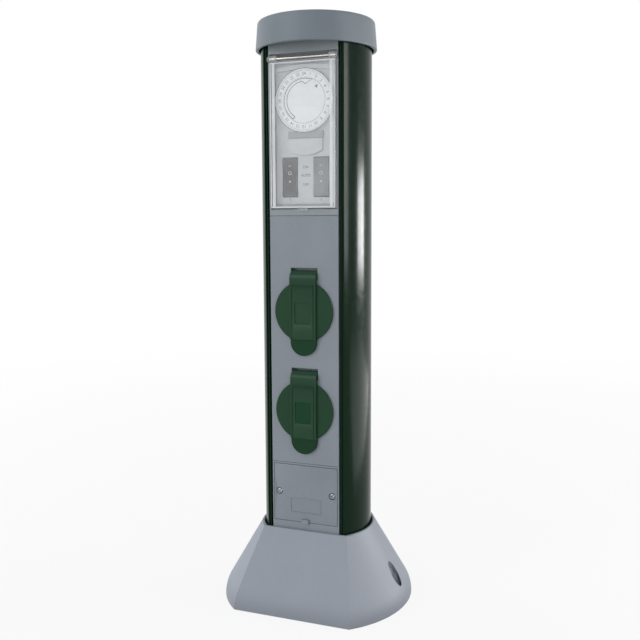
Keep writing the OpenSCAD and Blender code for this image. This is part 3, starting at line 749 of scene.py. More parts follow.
@dataclass
class Foot:
    """Flared foot with flat front and back, and a fixing pocket in each flank."""

    height: float = 65 * MM
    radius: float = 83.4 * MM
    top_radius: float = 49.6 * MM
    shift: float = 5.4 * MM
    flat: float = 15.8 * MM
    skirt: float = 7.2 * MM
    skirt_edge: float = 0.6 * MM
    sole_in: float = 0.35 * MM
    sole_rise: float = 0.4 * MM
    wall: float = 3 * MM
    corner: float = 0.8 * MM
    lip: float = 0.7 * MM
    seat_edge: float = 0.3 * MM
    seat_z: float = 42 * MM
    seat_radius: float = 48.2 * MM
    seat_half: float = 31.6 * MM
    pocket: Point = (72.5 * MM, -4 * MM)
    pocket_radius: float = 6 * MM
    pocket_floor: float = 5 * MM
    pocket_edge: float = 0.4 * MM
    liner_wall: float = 2 * MM
    liner_top: float = 41 * MM
    liner_inset: float = 0.6 * MM
    bolt_radius: float = 2.8 * MM
    far_out: float = 110 * MM

    @property
    def slope(self) -> float:
        """How far the flank leans in over its height above the skirt."""
        return (self.radius - self.top_radius) / (self.height - self.skirt)

    def side(self) -> list[Point]:
        """Draws the flank's outside.

        Returns:
            Its points as (radius, height), from the floor up.
        """
        lean = math.atan(self.slope)
        curve = (self.skirt - self.skirt_edge) / math.tan(lean / 2)
        low = arc((self.radius - curve, self.skirt_edge), curve, 0, math.degrees(lean), 14)
        r, z = low[-1]
        rise = (self.height - self.lip - z) / 10
        high = [(r - self.slope * rise * i, z + rise * i) for i in range(1, 11)]
        return [(self.radius - self.sole_in, 0.0), (self.radius, self.sole_rise)] + low + high

    def ring(self, wide: float, z: float) -> list[Place]:
        """One level of the foot's skin."""
        return [(x, y, z) for x, y in flat_round(wide, wide - self.flat, self.corner, self.shift)]

    def seat(self, grow: float, z: float) -> list[Place]:
        """One level of the opening for the column."""
        return [(x, y, z) for x, y in flat_round(self.seat_radius + grow, self.seat_half + grow,
                                                 self.corner)]

    def build(self) -> None:
        """Builds and dresses the foot."""
        outer = self.side()
        r, z = outer[-1]
        skin = [self.ring(*level) for level in outer + arc((r - self.lip, z), self.lip, 30, 90, 2)]
        skin += [self.seat(self.seat_edge, self.height), self.seat(0, self.height - self.seat_edge),
                 self.seat(0, self.seat_z)]
        inset = self.wall / math.cos(math.atan(self.slope))
        ceiling = self.seat_z - self.wall
        inner = [(r - inset, z) for r, z in outer if z < ceiling]
        inner[0] = (inner[0][0] + self.sole_in, 0.0)
        inner.append((self.top_radius + (self.height - ceiling) * self.slope - inset, ceiling))
        hollow = [self.ring(*level) for level in reversed(inner)]
        made = piece("foot.shell", loft(hollow + skin), Finish.FOOT, stands_for=("foot",))
        for side in Side:
            self.sink(made, side)

    def sink(self, shell: Object, side: Side) -> None:
        """Cuts one fixing pocket and lines it down to the floor.

        Args:
            shell: the foot.
            side: which flank.
        """
        at = (side.value * self.pocket[0], self.pocket[1], 0)
        hole, bolt, floor, edge = (self.pocket_radius, self.bolt_radius, self.pocket_floor,
                                   self.pocket_edge)
        cut(shell, lathe(rod(hole, floor, self.height + 5 * OVER), at, steps=64))
        outer = hole + self.liner_wall
        liner = [(bolt, 0), (outer, 0), (outer, self.liner_top), (hole, self.liner_top),
                 (hole, floor + edge), (hole - edge, floor), (bolt + edge, floor),
                 (bolt, floor - edge)]
        post = piece("foot.pocket_" + side.name.lower(), lathe(liner, at, steps=64, closed=True),
                     Finish.FOOT)
        cut(post, self.outside())

    def outside(self) -> BMesh:
        """Wraps the flank in a thick skin, which trims what would stand out of it.

        Returns:
            The skin.
        """
        levels = self.side()
        levels[0] = (levels[0][0], -OVER)
        near = [self.ring(r - self.liner_inset, z) for r, z in levels]
        far = [self.ring(self.far_out, z) for _, z in reversed(levels)]
        return loft(near + far + near[:1], caps=False)


@dataclass
class Column:
    """Two green side shells between flat grey panels."""

    radius: float = 47 * MM
    front: float = -FRONT
    panel_x: float = 30.7 * MM
    groove: float = 1.4 * MM
    wall: float = 2.4 * MM
    corner: float = 1.6 * MM
    tongue: float = 2 * MM
    lip: float = 2.3 * MM
    bevel: float = 0.3 * MM
    bead: float = 1.5 * MM
    bead_edge: float = 0.7 * MM
    slit: float = 0.65 * MM
    slit_depth: float = 1 * MM
    low: float = 42.2 * MM
    high: float = 484 * MM
    trough: tuple[float, Point, Point] = (13.5 * MM, (-26.1 * MM, -25.3 * MM), (27 * MM, 38 * MM))
    rod_gap: tuple[float, Point, Point] = (26.6 * MM, (-30.5 * MM, -26.5 * MM),
                                           (465.1 * MM, 467.2 * MM))

    def section(self, side: Side) -> list[Point]:
        """Outline of one green shell.

        Args:
            side: which side.

        Returns:
            Its points in X and Y.
        """
        start, hook = self.panel_x + self.groove, self.panel_x + self.bevel
        tongue = self.front - self.tongue
        inner = self.radius - self.wall
        edge = math.degrees(math.asin((tongue - self.lip) / inner))
        near = start + self.bead
        far = near + self.slit
        bottom = self.slit_depth - self.front
        outline = [(start, -tongue), (start, self.bevel - self.front),
                   (start + self.bevel, -self.front)]
        outline += arc((near - self.bead_edge, self.bead_edge - self.front), self.bead_edge,
                       -90, 0, 6)
        outline += [(near, bottom), (far, bottom), (far, -self.front)]
        outline += flank(self.radius, self.front, self.corner, 64)
        outline += [(start + self.bevel, self.front), (start, self.front - self.bevel),
                    (start, tongue), (hook, tongue), (hook, tongue - self.lip)]
        outline += arc((0, 0), inner, edge, -edge, 40)
        outline += [(hook, self.lip - tongue), (hook, -tongue)]
        return [(side.value * x, y) for x, y in outline]

    def build(self) -> None:
        """Builds and dresses shells and panels, and closes the panel behind each lid's hinge."""
        for side in Side:
            name = side.name.lower() + "_side_shell"
            piece(name + ".extruded", prism(self.section(side), self.low, self.high), Finish.SHELL,
                  stands_for=(name,), crease=24)
        softened("rear_panel", Finish.PANEL, on_plane(1, self.front), 0.5 * MM)
        softened("socket_panel", Finish.PANEL, on_plane(1, -self.front), 0.35 * MM)
        for name, (centre, _) in LIDS.items():
            plate = rounded(moved(slab(*self.trough), (0, 0, centre)), 0.2 * MM, 2)
            piece("socket_panel.trough_" + name, plate, Finish.PANEL)
        surround = softened("timer_frame", Finish.FRAME, on_plane(1, -self.front), 0.4 * MM)
        cut(surround, slab(*self.rod_gap))
        softened("terminal_frame", Finish.PANEL, on_plane(1, -self.front), 0.35 * MM)


@dataclass
class Cap:
    """Round cap with a rounded rim and a slight dome."""

    radius: float = 51.2 * MM
    draft: float = 1.6 * MM
    low: float = 473 * MM
    top: float = 498 * MM
    edge: float = 0.7 * MM
    rim: float = 2.6 * MM
    dome: float = 1.4 * MM
    wall: float = 2.6 * MM
    skirt: float = 6 * MM
    screw_z: float = 479.5 * MM
    sink: float = 3.4 * MM
    hole: float = 1.7 * MM
    well: float = 3.4 * MM
    post: float = 3.8 * MM
    post_start: float = 31.6 * MM

    def side(self, inset: float) -> list[Point]:
        """Draws the cap's outside, or its inside.

        Args:
            inset: how far the line is drawn in from the outside.

        Returns:
            Its points as (radius, height), from the rim to the middle.
        """
        edge = self.radius - self.draft - inset
        high = self.top - self.dome - inset
        rim = arc((edge - self.rim, high - self.rim), self.rim, 0, 90, 10)
        flat = [((edge - self.rim) * (1 - t / 8), high + self.dome * (1 - (1 - t / 8) ** 2))
                for t in range(1, 9)]
        return rim + flat

    def build(self) -> None:
        """Builds and dresses the cap with its rear screw post."""
        skin, floor = self.radius - self.wall, self.radius - self.sink
        profile = arc((self.radius - self.edge, self.low + self.edge), self.edge, -90, 0, 5)
        profile += self.side(0) + list(reversed(self.side(self.wall)))
        profile += [(skin, self.low + self.skirt), (skin, self.low)]
        made = piece("cap.shell", lathe(profile, steps=144, closed=True), Finish.CAP,
                     stands_for=("cap",))
        at = (0, 0, self.screw_z)
        cut(made, lathe(rod(self.well, skin - OVER, self.radius + OVER), at, "Y", 32))
        seat = [(self.hole, self.post_start), (self.post, self.post_start), (self.post, skin),
                (self.well, skin + OVER), (self.well, floor), (self.hole, floor)]
        piece("cap.screw_post", lathe(seat, at, "Y", 32, True), Finish.CAP)


@dataclass
class TerminalBay:
    """Screwed cover over the mains terminals."""

    x: float = 29 * MM
    z: Point = (71.7 * MM, 122 * MM)
    thick: float = 2.2 * MM
    edge: float = 0.3 * MM
    badge_x: float = 14.3 * MM
    badge_z: Point = (79.5 * MM, 93 * MM)
    badge_y: Point = (-0.4 * MM, 0.3 * MM)
    badge_line: float = 0.9 * MM
    badge_edge: float = 0.25 * MM
    tab_x: float = 3.3 * MM
    tab_y: Point = (-1.9 * MM, -0.1 * MM)
    tab_z: Point = (-1.5 * MM, 2.7 * MM)
    tab_edge: float = 0.6 * MM
    screw_x: float = 24.4 * MM
    screw_z: float = 97.5 * MM
    recess: Point = (3.1 * MM, 1.2 * MM)
    head: tuple[Point, ...] = ((0, 1.15 * MM), (2.6 * MM, 1.15 * MM), (2.6 * MM, 0.5 * MM),
                               (2.4 * MM, 0.05 * MM), (1.9 * MM, -0.3 * MM), (1.1 * MM, -0.47 * MM),
                               (0, -0.5 * MM))
    cross: Point = (1.7 * MM, 0.42 * MM)
    cross_y: Point = (-0.7 * MM, 0.9 * MM)
    cross_turn: float = 24

    def build(self) -> None:
        """Builds and dresses the cover, its raised border, its tab and its screws."""
        plate = rounded(slab(self.x, (FRONT, FRONT + self.thick), self.z), self.edge, 2,
                        on_plane(1, FRONT))
        cover = piece("terminal_cover.plate", plate, Finish.PANEL, stands_for=("terminal_cover",))
        face, back = (FRONT + y for y in self.badge_y)
        badge = rounded(slab(self.badge_x, (face, back), self.badge_z), self.badge_edge, 2,
                        on_plane(1, face))
        border = piece("terminal_cover.border", badge, Finish.PANEL)
        low, high = self.badge_z
        cut(border, slab(self.badge_x - self.badge_line, (FRONT - 2 * OVER, FRONT + OVER),
                         (low + self.badge_line, high - self.badge_line)))
        tab = slab(self.tab_x, [FRONT + y for y in self.tab_y], [self.z[0] + z for z in self.tab_z])
        piece("terminal_cover.tab", rounded(tab, self.tab_edge, 3), Finish.PANEL)
        for side in Side:
            self.screw(cover, side)
        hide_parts("cover_screws")

    def screw(self, cover: Object, side: Side) -> None:
        """Sinks one pan-head screw with a cross recess in the cover.

        Args:
            cover: the cover.
            side: which screw.
        """
        at = (side.value * self.screw_x, FRONT, self.screw_z)
        wide, deep = self.recess
        cut(cover, lathe(rod(wide, -OVER, deep), at, "Y", 40))
        made = piece("cover_screw." + side.name.lower(), lathe(self.head, at, "Y", 40),
                     Finish.SCREW)
        turn = Matrix.Rotation(math.radians(self.cross_turn * side.value), 4, "Y")
        for wide, tall in (self.cross, self.cross[::-1]):
            cut(made, moved(slab(wide, self.cross_y, (-tall, tall)), at, turn))


@dataclass
class SocketLid:
    """Round lid with a broad strap that bends into its hinge."""

    name: str
    centre: float
    inlay: Optional[Finish] = None
    radius: float = 26 * MM
    edge: float = 0.7 * MM
    back: float = -31.6 * MM
    back_edge: float = 0.3 * MM
    face: float = -33.4 * MM
    bow: tuple[Point, ...] = ((0, 0.25 * MM), (8 * MM, 0.22 * MM), (16 * MM, 0.13 * MM),
                              (22 * MM, 0.03 * MM))
    sleeve: float = 21.5 * MM
    sleeve_in: float = 19.8 * MM
    sleeve_edge: float = 0.4 * MM
    sleeve_y: Point = (-29.3 * MM, -29 * MM)
    strap: float = -35.6 * MM
    strap_x: float = 11.7 * MM
    strap_edge: float = 1 * MM
    strap_root: float = 0.4 * MM
    strap_top: float = 26.2 * MM
    bend: float = 5.2 * MM
    bend_z: float = 27.8 * MM
    bend_deep: float = 4.2 * MM
    hinge: Point = (-29.5 * MM, 31.4 * MM)
    knuckle: float = 3.2 * MM
    pin: Point = (1.25 * MM, 20 * MM)
    spring: Point = (2.6 * MM, 3.2 * MM)
    step_z: float = -23.6 * MM
    tab_z: float = -25.8 * MM
    tab_step: float = 1.3 * MM
    label_x: float = 7.2 * MM
    label_z: Point = (-10.6 * MM, 8 * MM)
    label_deep: float = 0.8 * MM
    label_edge: float = 0.15 * MM
    inlay_y: Point = (0.5 * MM, 1 * MM)
    inlay_edge: float = 0.1 * MM
    groove_x: float = 9.6 * MM
    groove_half: float = 0.2 * MM
    groove_deep: float = 0.25 * MM
    groove_top: float = 22 * MM

    def disc(self) -> BMesh:
        """Turns the disc with its sleeve.

        Returns:
            The disc, about the lid's own centre.
        """
        root, tip = self.sleeve_y
        profile = [(r, self.face - rise) for r, rise in self.bow]
        profile += arc((self.radius - self.edge, self.face + self.edge), self.edge, -90, 0, 5)
        profile += [(self.radius, self.back - self.back_edge),
                    (self.radius - self.back_edge, self.back), (self.sleeve, self.back),
                    (self.sleeve, root), (self.sleeve - self.sleeve_edge, tip),
                    (self.sleeve_in, tip), (self.sleeve_in, self.back), (0, self.back)]
        return lathe(profile, axis="Y", steps=120)

    def bar(self) -> BMesh:
        """Draws the strap from the side and extrudes it across.

        Returns:
            The strap, about the lid's own centre.
        """
        root = self.back + self.strap_root
        outline = [(root, self.step_z), (self.strap, self.step_z)]
        outline += arc((self.strap + self.bend, self.bend_z), self.bend, 180, 118, 8)
        outline += arc(self.hinge, self.knuckle, 128, -60, 12)
        outline += [(root, self.strap_top)]
        return prism(outline, -self.strap_x, self.strap_x, "X")

    def tab(self) -> BMesh:
        """Makes the rounded finger tab under the strap.

        Returns:
            The tab, about the lid's own centre.
        """
        face, top = self.strap + self.tab_step, self.step_z + OVER
        outline = arc((0, self.tab_z), self.strap_x, 180, 360, 40)
        outline += [(self.strap_x, top), (-self.strap_x, top)]
        return rounded(prism(outline, face, self.back, "Y"), self.edge, 4, on_plane(1, face), 60)

    def long_edge(self, a: Vector, b: Vector) -> bool:
        """Whether an edge runs along a side of the strap's face or of its bend."""
        return all(abs(abs(p.x) - self.strap_x) < NEAR and p.y < self.strap + self.bend_deep
                   and p.z > self.step_z - 5 * NEAR for p in (a, b))

    def carve(self, made: Object, shift: Place) -> None:
        """Cuts the label's field, two grooves, the pin's bore and the spring's gap in the strap.

        Args:
            made: the strap.
            shift: the place of the lid's centre.
        """
        front, floor = self.strap - 3 * OVER, self.strap + self.label_deep
        label = rounded(slab(self.label_x, (front, floor), self.label_z), self.label_edge, 1,
                        on_plane(1, floor))
        cut(made, moved(label, shift))
        for side in Side:
            line = slab(self.groove_half, (front, self.strap + self.groove_deep),
                        (self.step_z - OVER, self.groove_top))
            cut(made, moved(line, (side.value * self.groove_x, 0, self.centre)))
        y, z = self.hinge
        for wide, reach in (self.pin, self.spring):
            cut(made, lathe(rod(wide, -reach, reach), (0, y, z + self.centre), "X", 32))

    def build(self) -> None:
        """Builds and dresses the lid, shut over its well."""
        body = self.name
        shift = (0, 0, self.centre)
        piece(body + ".disc", moved(self.disc(), shift), Finish.LID, body, (body,))
        bar = rounded(self.bar(), self.strap_edge, 4, self.long_edge, 50)
        made = piece(body + ".strap", moved(bar, shift), Finish.STRAP, body)
        self.carve(made, shift)
        if self.inlay:
            plate = slab(self.label_x, [self.strap + y for y in self.inlay_y], self.label_z)
            plate = rounded(plate, self.inlay_edge, 2)
            piece(body + ".inlay", moved(plate, shift), self.inlay, body)
        piece(body + ".tab", moved(self.tab(), shift), Finish.TAB, body)


def ribbon(path: Sequence[Point], wide: float, face: float, thick: float,
           shut: bool = True) -> BMesh:
    """A thin printed line on a face that looks along -Y.

    Args:
        path: its points in X and Z.
        wide: its width.
        face: the Y that it lies on.
        thick: how far it stands off.
        shut: whether its end joins its start.

    Returns:
        The line.
    """
    count = len(path)
    rings = []
    for i, (x, z) in enumerate(path):
        before = path[i - 1] if shut or i else path[0]
        after = path[(i + 1) % count] if shut or i < count - 1 else path[-1]
        first, second = [Vector((b[0] - a[0], b[1] - a[1])) for a, b in
                         ((before, (x, z)), ((x, z), after))]
        first = (first if first.length > 1e-9 else second).normalized()
        second = (second if second.length > 1e-9 else first).normalized()
        along = (first + second).normalized()
        reach = min(2.0, 1 / max(0.3, along.dot(first))) * wide / 2
        n = Vector((-along.y, along.x)) * reach
        rings.append([(x + n.x, face, z + n.y), (x + n.x, face - thick, z + n.y),
                      (x - n.x, face - thick, z - n.y), (x - n.x, face, z - n.y)])
    return loft(rings + rings[:1] if shut else rings, caps=not shut)


def lettering(text: str, size: float, at: Sequence[float], turn: float = 0) -> BMesh:
    """Plain letters or figures that stand 0.04 mm off a face that looks along -Y.

    Args:
        text: what they say.
        size: their height.
        at: their middle.
        turn: their turn clockwise in degrees.

    Returns:
        The letters.
    """
    curve = bpy.data.curves.new("letters", "FONT")
    curve.body = text
    cap_height, bolder, thick = 0.7, 0.025, 0.04 * MM
    curve.size = size / cap_height
    curve.align_x = "CENTER"
    curve.align_y = "CENTER"
    curve.offset = size * bolder
    curve.extrude = thick / 2
    curve.resolution_u = 3
    carrier = placed("letters", curve)
    mesh = shape_now(carrier)
    bm = bmesh.new()
    bm.from_mesh(mesh)
    bmesh.ops.remove_doubles(bm, verts=bm.verts, dist=0.001 * MM)
    bpy.data.objects.remove(carrier)
    bpy.data.curves.remove(curve)
    bpy.data.meshes.remove(mesh)
    face = Matrix.Rotation(math.radians(turn), 4, "Y") @ Matrix.Rotation(math.radians(90), 4, "X")
    return moved(bm, at, face)


@dataclass
class Window:
    """Clear hinged tray, whose walls, rim and glare bands are painted milkier than its plate as
    painted highlights.
    """

    face: float = -33.3 * MM
    edge: float = 0.7 * MM
    wall_x: float = 27.3 * MM
    wall_z: Point = (343.4 * MM, 459.8 * MM)
    rim: Point = (0.9 * MM, 0.12 * MM)
    flange: Point = (24.1 * MM, 26.7 * MM)
    flange_rise: float = 0.06 * MM

    def build(self) -> None:
        """Builds and dresses the window."""
        x, (low, high) = self.wall_x, self.wall_z
        tray = softened("window", Finish.CLEAR, on_plane(1, self.face), self.edge, "window")
        tray.data.materials.append(Finish.CLEAR_EDGE.material)
        # Painted highlight: the walls and the front border take the milkier finish, so they read as
        # bright lines
        for facet in tray.data.polygons:
            across = abs(facet.normal.y) < 0.5
            outside = abs(facet.center.x) > x or not low < facet.center.z < high
            facet.material_index = int(outside and (across or facet.center.y > FRONT))
        x += self.edge
        outline = [(-x, low - self.edge), (x, low - self.edge), (x, high), (-x, high)]
        wide, rise = self.rim
        # Painted highlight: a milky line round the front border
        piece("window.painted_rim_highlight", ribbon(outline, wide, self.face, rise), Finish.CLEAR_EDGE, "window")
        # Painted glare: thin milky bands on the front near each wall, which lighten the dial behind
        # them
        for side in Side:
            near, far = sorted(side.value * reach for reach in self.flange)
            band = box((near, self.face - self.flange_rise, low), (far, self.face, high))
            piece("window.painted_glare_" + side.name.lower(), band, Finish.CLEAR_EDGE, "window")


@dataclass
class Dial:
    """Print on the turning hour ring and on the fixed disc inside it, with a painted shadow line
    round the ring.
    """

    z: float = 429.6 * MM
    radius: float = 26 * MM
    ring_face: float = -28.8 * MM
    disc_face: float = -28.9 * MM
    figures_r: float = 21.2 * MM
    figures: float = 2.4 * MM
    line: float = 0.5 * MM
    thick: float = 0.05 * MM
    arrow_r: Point = (17.5 * MM, 15.2 * MM)
    arrow_tip: tuple[Point, ...] = ((7.3 * MM, 16.6 * MM), (0.8 * MM, 13 * MM),
                                    (-0.4 * MM, 14.6 * MM))
    mark: tuple[Point, ...] = ((12.2 * MM, 12.1 * MM), (9.5 * MM, 10.8 * MM), (11.4 * MM, 9.1 * MM))

    def at(self, radius: float, clock: float) -> Point:
        """A place in X and Z, from its radius and its angle clockwise from the top."""
        a = math.radians(clock)
        return radius * math.sin(a), self.z + radius * math.cos(a)

    def ring(self) -> None:
        """Prints the figures on the ring and a dark line round its rim as painted shadow."""
        figures = []
        for hour in range(1, 25):
            x, z = self.at(self.figures_r, 15 * hour)
            figures.append(lettering(str(hour), self.figures, (x, self.ring_face, z), 15 * hour))
        piece("hour_ring.figures", joined(*figures), Finish.PALE_PRINT, "hour_ring")
        # Painted shadow: a dark line round the ring's rim, where shade falls between the dial and
        # the fascia
        line = arc((0, self.z), self.radius - self.line / 2, 0, 357.5, 143)
        piece("hour_ring.painted_rim_shadow", ribbon(line, self.line, self.ring_face, self.thick),
              Finish.PRINT, "hour_ring")

    def disc(self) -> None:
        """Prints the outlined arrow and the time mark on the disc."""
        outer, inner = self.arrow_r
        path = [self.at(outer, 212 + 4 * i) for i in range(42)]
        path += [(x, self.z + z) for x, z in self.arrow_tip]
        path += [self.at(inner, 352 - 4 * i) for i in range(36)]
        piece("centre_disc.arrow", ribbon(path, self.line, self.disc_face, self.thick),
              Finish.PRINT)
        mark = prism([(x, self.z + z) for x, z in self.mark], self.disc_face - self.thick,
                     self.disc_face, "Y")
        piece("centre_disc.mark", mark, Finish.PRINT)

    def build(self) -> None:
        """Prints the ring and the disc."""
        self.ring()
        self.disc()


@dataclass
class Fascia:
    """Plate round the dial and the rockers, with an arched band, a darker ledge of painted shadow
    under the dial, and print.
    """

    face: float = -26 * MM
    boss: float = 2 * MM
    boss_edge: float = 0.7 * MM
    arch_z: Point = (459 * MM, 455 * MM)
    arch_r: float = 140 * MM
    arch_x: float = 27 * MM
    arch_rise: float = 1.4 * MM
    arch_edge: float = 0.5 * MM
    ledge_x: Point = (-15 * MM, 16 * MM)
    ledge_z: Point = (399.2 * MM, 405 * MM)
    ledge_rise: float = 1.2 * MM
    ledge_edge: float = 0.3 * MM
    words: tuple[tuple[str, float], ...] = (("ON", 375.6 * MM), ("AUTO", 368.8 * MM),
                                            ("OFF", 361.3 * MM))
    words_high: float = 2.1 * MM
    digits: Point = (13.9 * MM, 349 * MM)
    digits_high: float = 2 * MM

    def build(self) -> None:
        """Builds and dresses the plate, its arch, its ledge with painted shadow and its print."""
        upper, lower = (z - self.arch_r for z in self.arch_z)
        reach = math.degrees(math.asin(self.arch_x / self.arch_r))
        band = arc((0, upper), self.arch_r, 90 - reach, 90 + reach, 24)
        band += arc((0, lower), self.arch_r, 90 + reach, 90 - reach, 24)
        top = self.face - self.arch_rise
        arch = rounded(prism(band, top, self.face, "Y"), self.arch_edge, 3, on_plane(1, top))
        piece("timer_fascia.arch", arch, Finish.FASCIA)
        softened("timer_fascia", Finish.FASCIA, on_plane(1, self.face - self.boss), self.boss_edge)
        # Painted shadow: the raised ledge under the dial is coloured darker, as shade under the
        # dial
        (left, right), (low, high) = self.ledge_x, self.ledge_z
        ledge = box((left, self.face - self.ledge_rise, low), (right, self.face, high))
        piece("timer_fascia.ledge_painted_shadow", rounded(ledge, self.ledge_edge, 2), Finish.LEDGE)
        x, z = self.digits
        print_on = [lettering(word, self.words_high, (0, self.face, up)) for word, up in self.words]
        print_on += [lettering(str(i), self.digits_high, (side.value * x, self.face, z))
                     for i, side in enumerate(Side, 1)]
        piece("timer_fascia.words", joined(*print_on), Finish.PRINT)


@dataclass
class Rocker:
    """Dished rocker with a raised border and three signs."""

    side: Side
    x: float = 13.9 * MM
    z: float = 367.4 * MM
    tall: float = 15.4 * MM
    face: float = -27.3 * MM
    dish: float = 1 * MM
    edge: float = 0.5 * MM
    edge_deep: float = 5.2 * MM
    border: Point = (5.05 * MM, 13.6 * MM)
    border_wide: float = 0.5 * MM
    border_rise: float = 0.3 * MM
    dash: Place = (1.1 * MM, 9.4 * MM, 0.5 * MM)
    circle: Point = (1.3 * MM, 0.45 * MM)
    dot: Point = (0.45 * MM, 0.7 * MM)
    signs_z: float = 3.5 * MM
    signs_rise: float = 0.2 * MM

    def lie(self, height: float) -> float:
        """The dished face's Y at a height from the middle."""
        return self.face + self.dish * (1 - abs(height) / self.tall)

    def build(self) -> None:
        """Builds and dresses the rocker."""
        name = self.side.name.lower() + "_rocker"
        # The right rocker takes the paler copy of its black as painted glare
        finish = Finish.ROCKER if self.side is Side.LEFT else Finish.ROCKER_PALE
        softened(name, finish, lambda a, b: max(a.y, b.y) < FRONT + self.edge_deep, self.edge, name)
        x, z = self.side.value * self.x, self.z
        half, low = self.border
        rings = []
        for px, pz in ((-half, -low), (half, -low), (half, 0), (half, low), (-half, low),
                       (-half, 0)):
            ix, iz = px * (1 - self.border_wide / half), pz * (1 - self.border_wide / low)
            outer, inner = self.lie(pz), self.lie(iz)
            rings.append([(x + px, outer, z + pz), (x + px, outer - self.border_rise, z + pz),
                          (x + ix, inner - self.border_rise, z + iz), (x + ix, inner, z + iz)])
        piece(name + ".border", loft(rings + rings[:1], caps=False), finish, name)
        reach, up, wide = self.dash
        dash = [(x - reach, z + up), (x + reach, z + up)]
        circle = arc((x, z + self.signs_z), self.circle[0], 0, 345, 23)
        dot = arc((x, z - self.signs_z), self.dot[0], 0, 330, 11)
        face, rise = self.lie(self.signs_z), self.signs_rise
        signs = [ribbon(dash, wide, self.lie(up), rise, False),
                 ribbon(circle, self.circle[1], face, rise), ribbon(dot, self.dot[1], face, rise)]
        piece(name + ".marks", joined(*signs), Finish.LIGHT_PRINT, name)


@dataclass(frozen=True)
class Lamp:
    """A rectangular lamp that faces a point, with its place, size and watts."""

    name: str
    at: Place
    aim: Place
    size: Point
    power: float
    soft: bool = True
    gloss: bool = True

    def build(self) -> None:
        """Hangs the lamp. It lights dull surfaces if soft, and glossy ones show it if gloss."""
        light = bpy.data.lights.new(self.name, "AREA")
        light.shape = "RECTANGLE"
        light.size, light.size_y = self.size
        light.energy = self.power
        made = placed(self.name, light)
        made.location = self.at
        look = Vector(self.aim) - Vector(self.at)
        made.rotation_euler = look.to_track_quat("-Z", "Y").to_euler()
        made.visible_camera = False
        made.visible_diffuse = self.soft
        made.visible_glossy = self.gloss


LAMPS = (Lamp("key", (-0.9, -1.5, 0.6), (0, 0, 0.2), (1.2, 1.2), 9.7, gloss=False),
         Lamp("glint", (-0.9, -1.5, 1.5), (0, 0, 0.25), (1.2, 1.2), 14, soft=False),
         Lamp("fill", (-1.3, 0.25, 0.35), (0, 0, 0.1), (0.6, 0.6), 3.5),
         Lamp("strip", (1.006, 0.654, 0.322), (0, 0, 0.322), (0.42, 0.215), 14, soft=False),
         Lamp("edge", (1.18, -0.22, 0.48), (0, 0, 0.4), (0.3, 0.5), 8, soft=False),
         Lamp("side", (1.12, 0.42, 0.62), (0, 0, 0.32), (0.6, 0.6), 4.3, gloss=False),
         Lamp("sheen", (0.85, 0.5, 0.01), (0.85, 0.5, 1), (1.0, 0.9), 9, soft=False))


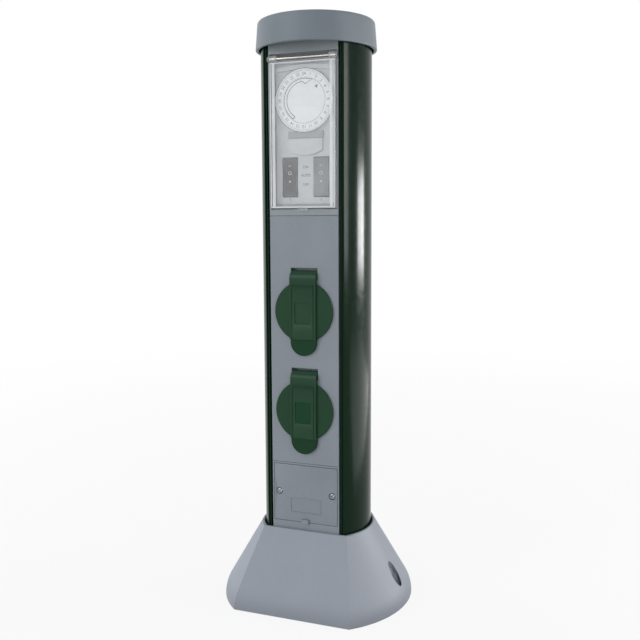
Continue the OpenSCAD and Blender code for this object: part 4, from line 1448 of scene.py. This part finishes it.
@dataclass
class Stage:
    """Pale floor, plain studio light and the camera."""

    lens: float = 47.67
    sensor: float = 36
    eye: Place = (266.3 * MM, -688.1 * MM, 333.0 * MM)
    tilt: float = 83.19
    turn: float = 21.0
    roll: float = -0.26
    white: Colour = (1.0, 1.0, 1.0)
    world_level: float = 0.595
    floor_half: float = 6.0
    floor_colour: Colour = srgb(229, 230, 231)
    floor_glow: Point = (0.86, 1.0)
    floor_reach: Point = (0.25, 1.6)

    def backdrop_seen(self, graph: Graph) -> Sock:
        """Tells the rays that see the backdrop.

        Args:
            graph: the nodes that need to know.

        Returns:
            One for rays from the camera, a mirror or glass, else zero.
        """
        path = graph.make("ShaderNodeLightPath")
        camera, glossy, through = [Sock(graph, path.outputs[name]) for name in
                                   ("Is Camera Ray", "Is Glossy Ray", "Is Transmission Ray")]
        return graph.node("ShaderNodeMath", {"operation": "ADD", "use_clamp": True},
                          {0: camera, 1: glossy + through})

    def floor(self) -> None:
        """Lays the floor, which glows white where the camera sees it away from the object."""
        bm = bmesh.new()
        bmesh.ops.create_grid(bm, x_segments=8, y_segments=8, size=self.floor_half)
        made = placed("floor", as_mesh("floor", bm))
        s = Shader("floor.finish")
        s.surface(base_color=self.floor_colour, roughness=0.9)
        glow = s.node("ShaderNodeEmission", values={"Color": self.white, "Strength": 1.0})
        away = s.node("ShaderNodeVectorMath", {"operation": "LENGTH"}, {0: s.place((1, 1, 0))},
                      "Value")
        mask = self.backdrop_seen(s) * away.ramp(*self.floor_glow, *self.floor_reach)
        mixed = s.node("ShaderNodeMixShader", values={0: mask, 1: s.plain, 2: glow})
        s.put(s.output.inputs["Surface"], mixed)
        made.data.materials.append(s.material)

    def world(self) -> None:
        """Sets an even pale sky."""
        world = bpy.data.worlds.new("studio")
        bpy.context.scene.world = world
        world.use_nodes = True
        graph = Graph(world.node_tree)
        level = self.backdrop_seen(graph).ramp(self.world_level, 1.0, 0, 1)
        sky = graph.node("ShaderNodeBackground", values={"Color": self.white, "Strength": level})
        graph.make("ShaderNodeOutputWorld", values={"Surface": sky})

    def camera(self) -> None:
        """Sets the camera at the photograph's place."""
        data = bpy.data.cameras.new("camera")
        data.lens = self.lens
        data.sensor_width = self.sensor
        made = placed("camera", data)
        made.location = self.eye
        level = Euler((math.radians(self.tilt), 0, math.radians(self.turn))).to_matrix()
        leaning = level @ Matrix.Rotation(math.radians(self.roll), 3, "Z")
        made.rotation_euler = leaning.to_euler()
        bpy.context.scene.camera = made

    def build(self) -> None:
        """Sets up everything round the object."""
        self.floor()
        self.world()
        for lamp in LAMPS:
            lamp.build()
        self.camera()
        bpy.context.scene.view_settings.view_transform = "Standard"


def dress_packed_nodes() -> None:
    """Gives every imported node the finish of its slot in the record."""
    by_slot = {finish.value.name: finish for finish in Finish}
    for part in frame["record"]["subparts"]:
        node = frame["nodes"].get(part["node"])
        if node is None:
            continue
        node.data.materials.clear()
        node.data.materials.append(by_slot[part["material_slot"]].material)
        LOG.info("%s: packed node, %s", part["node"], part["material_slot"])


def main() -> None:
    """Builds the object's looks, then the stage."""
    logging.basicConfig(level=logging.INFO, format="%(name)s: %(message)s")
    dress_packed_nodes()
    parts = [Foot(), Column(), Cap(), TerminalBay()]
    parts += [SocketLid(name, centre, inlay) for name, (centre, inlay) in LIDS.items()]
    parts += [Window(), Dial(), Fascia()] + [Rocker(side) for side in Side]
    for part in parts + [Stage()]:
        part.build()


if __name__ == "__main__":
    main()
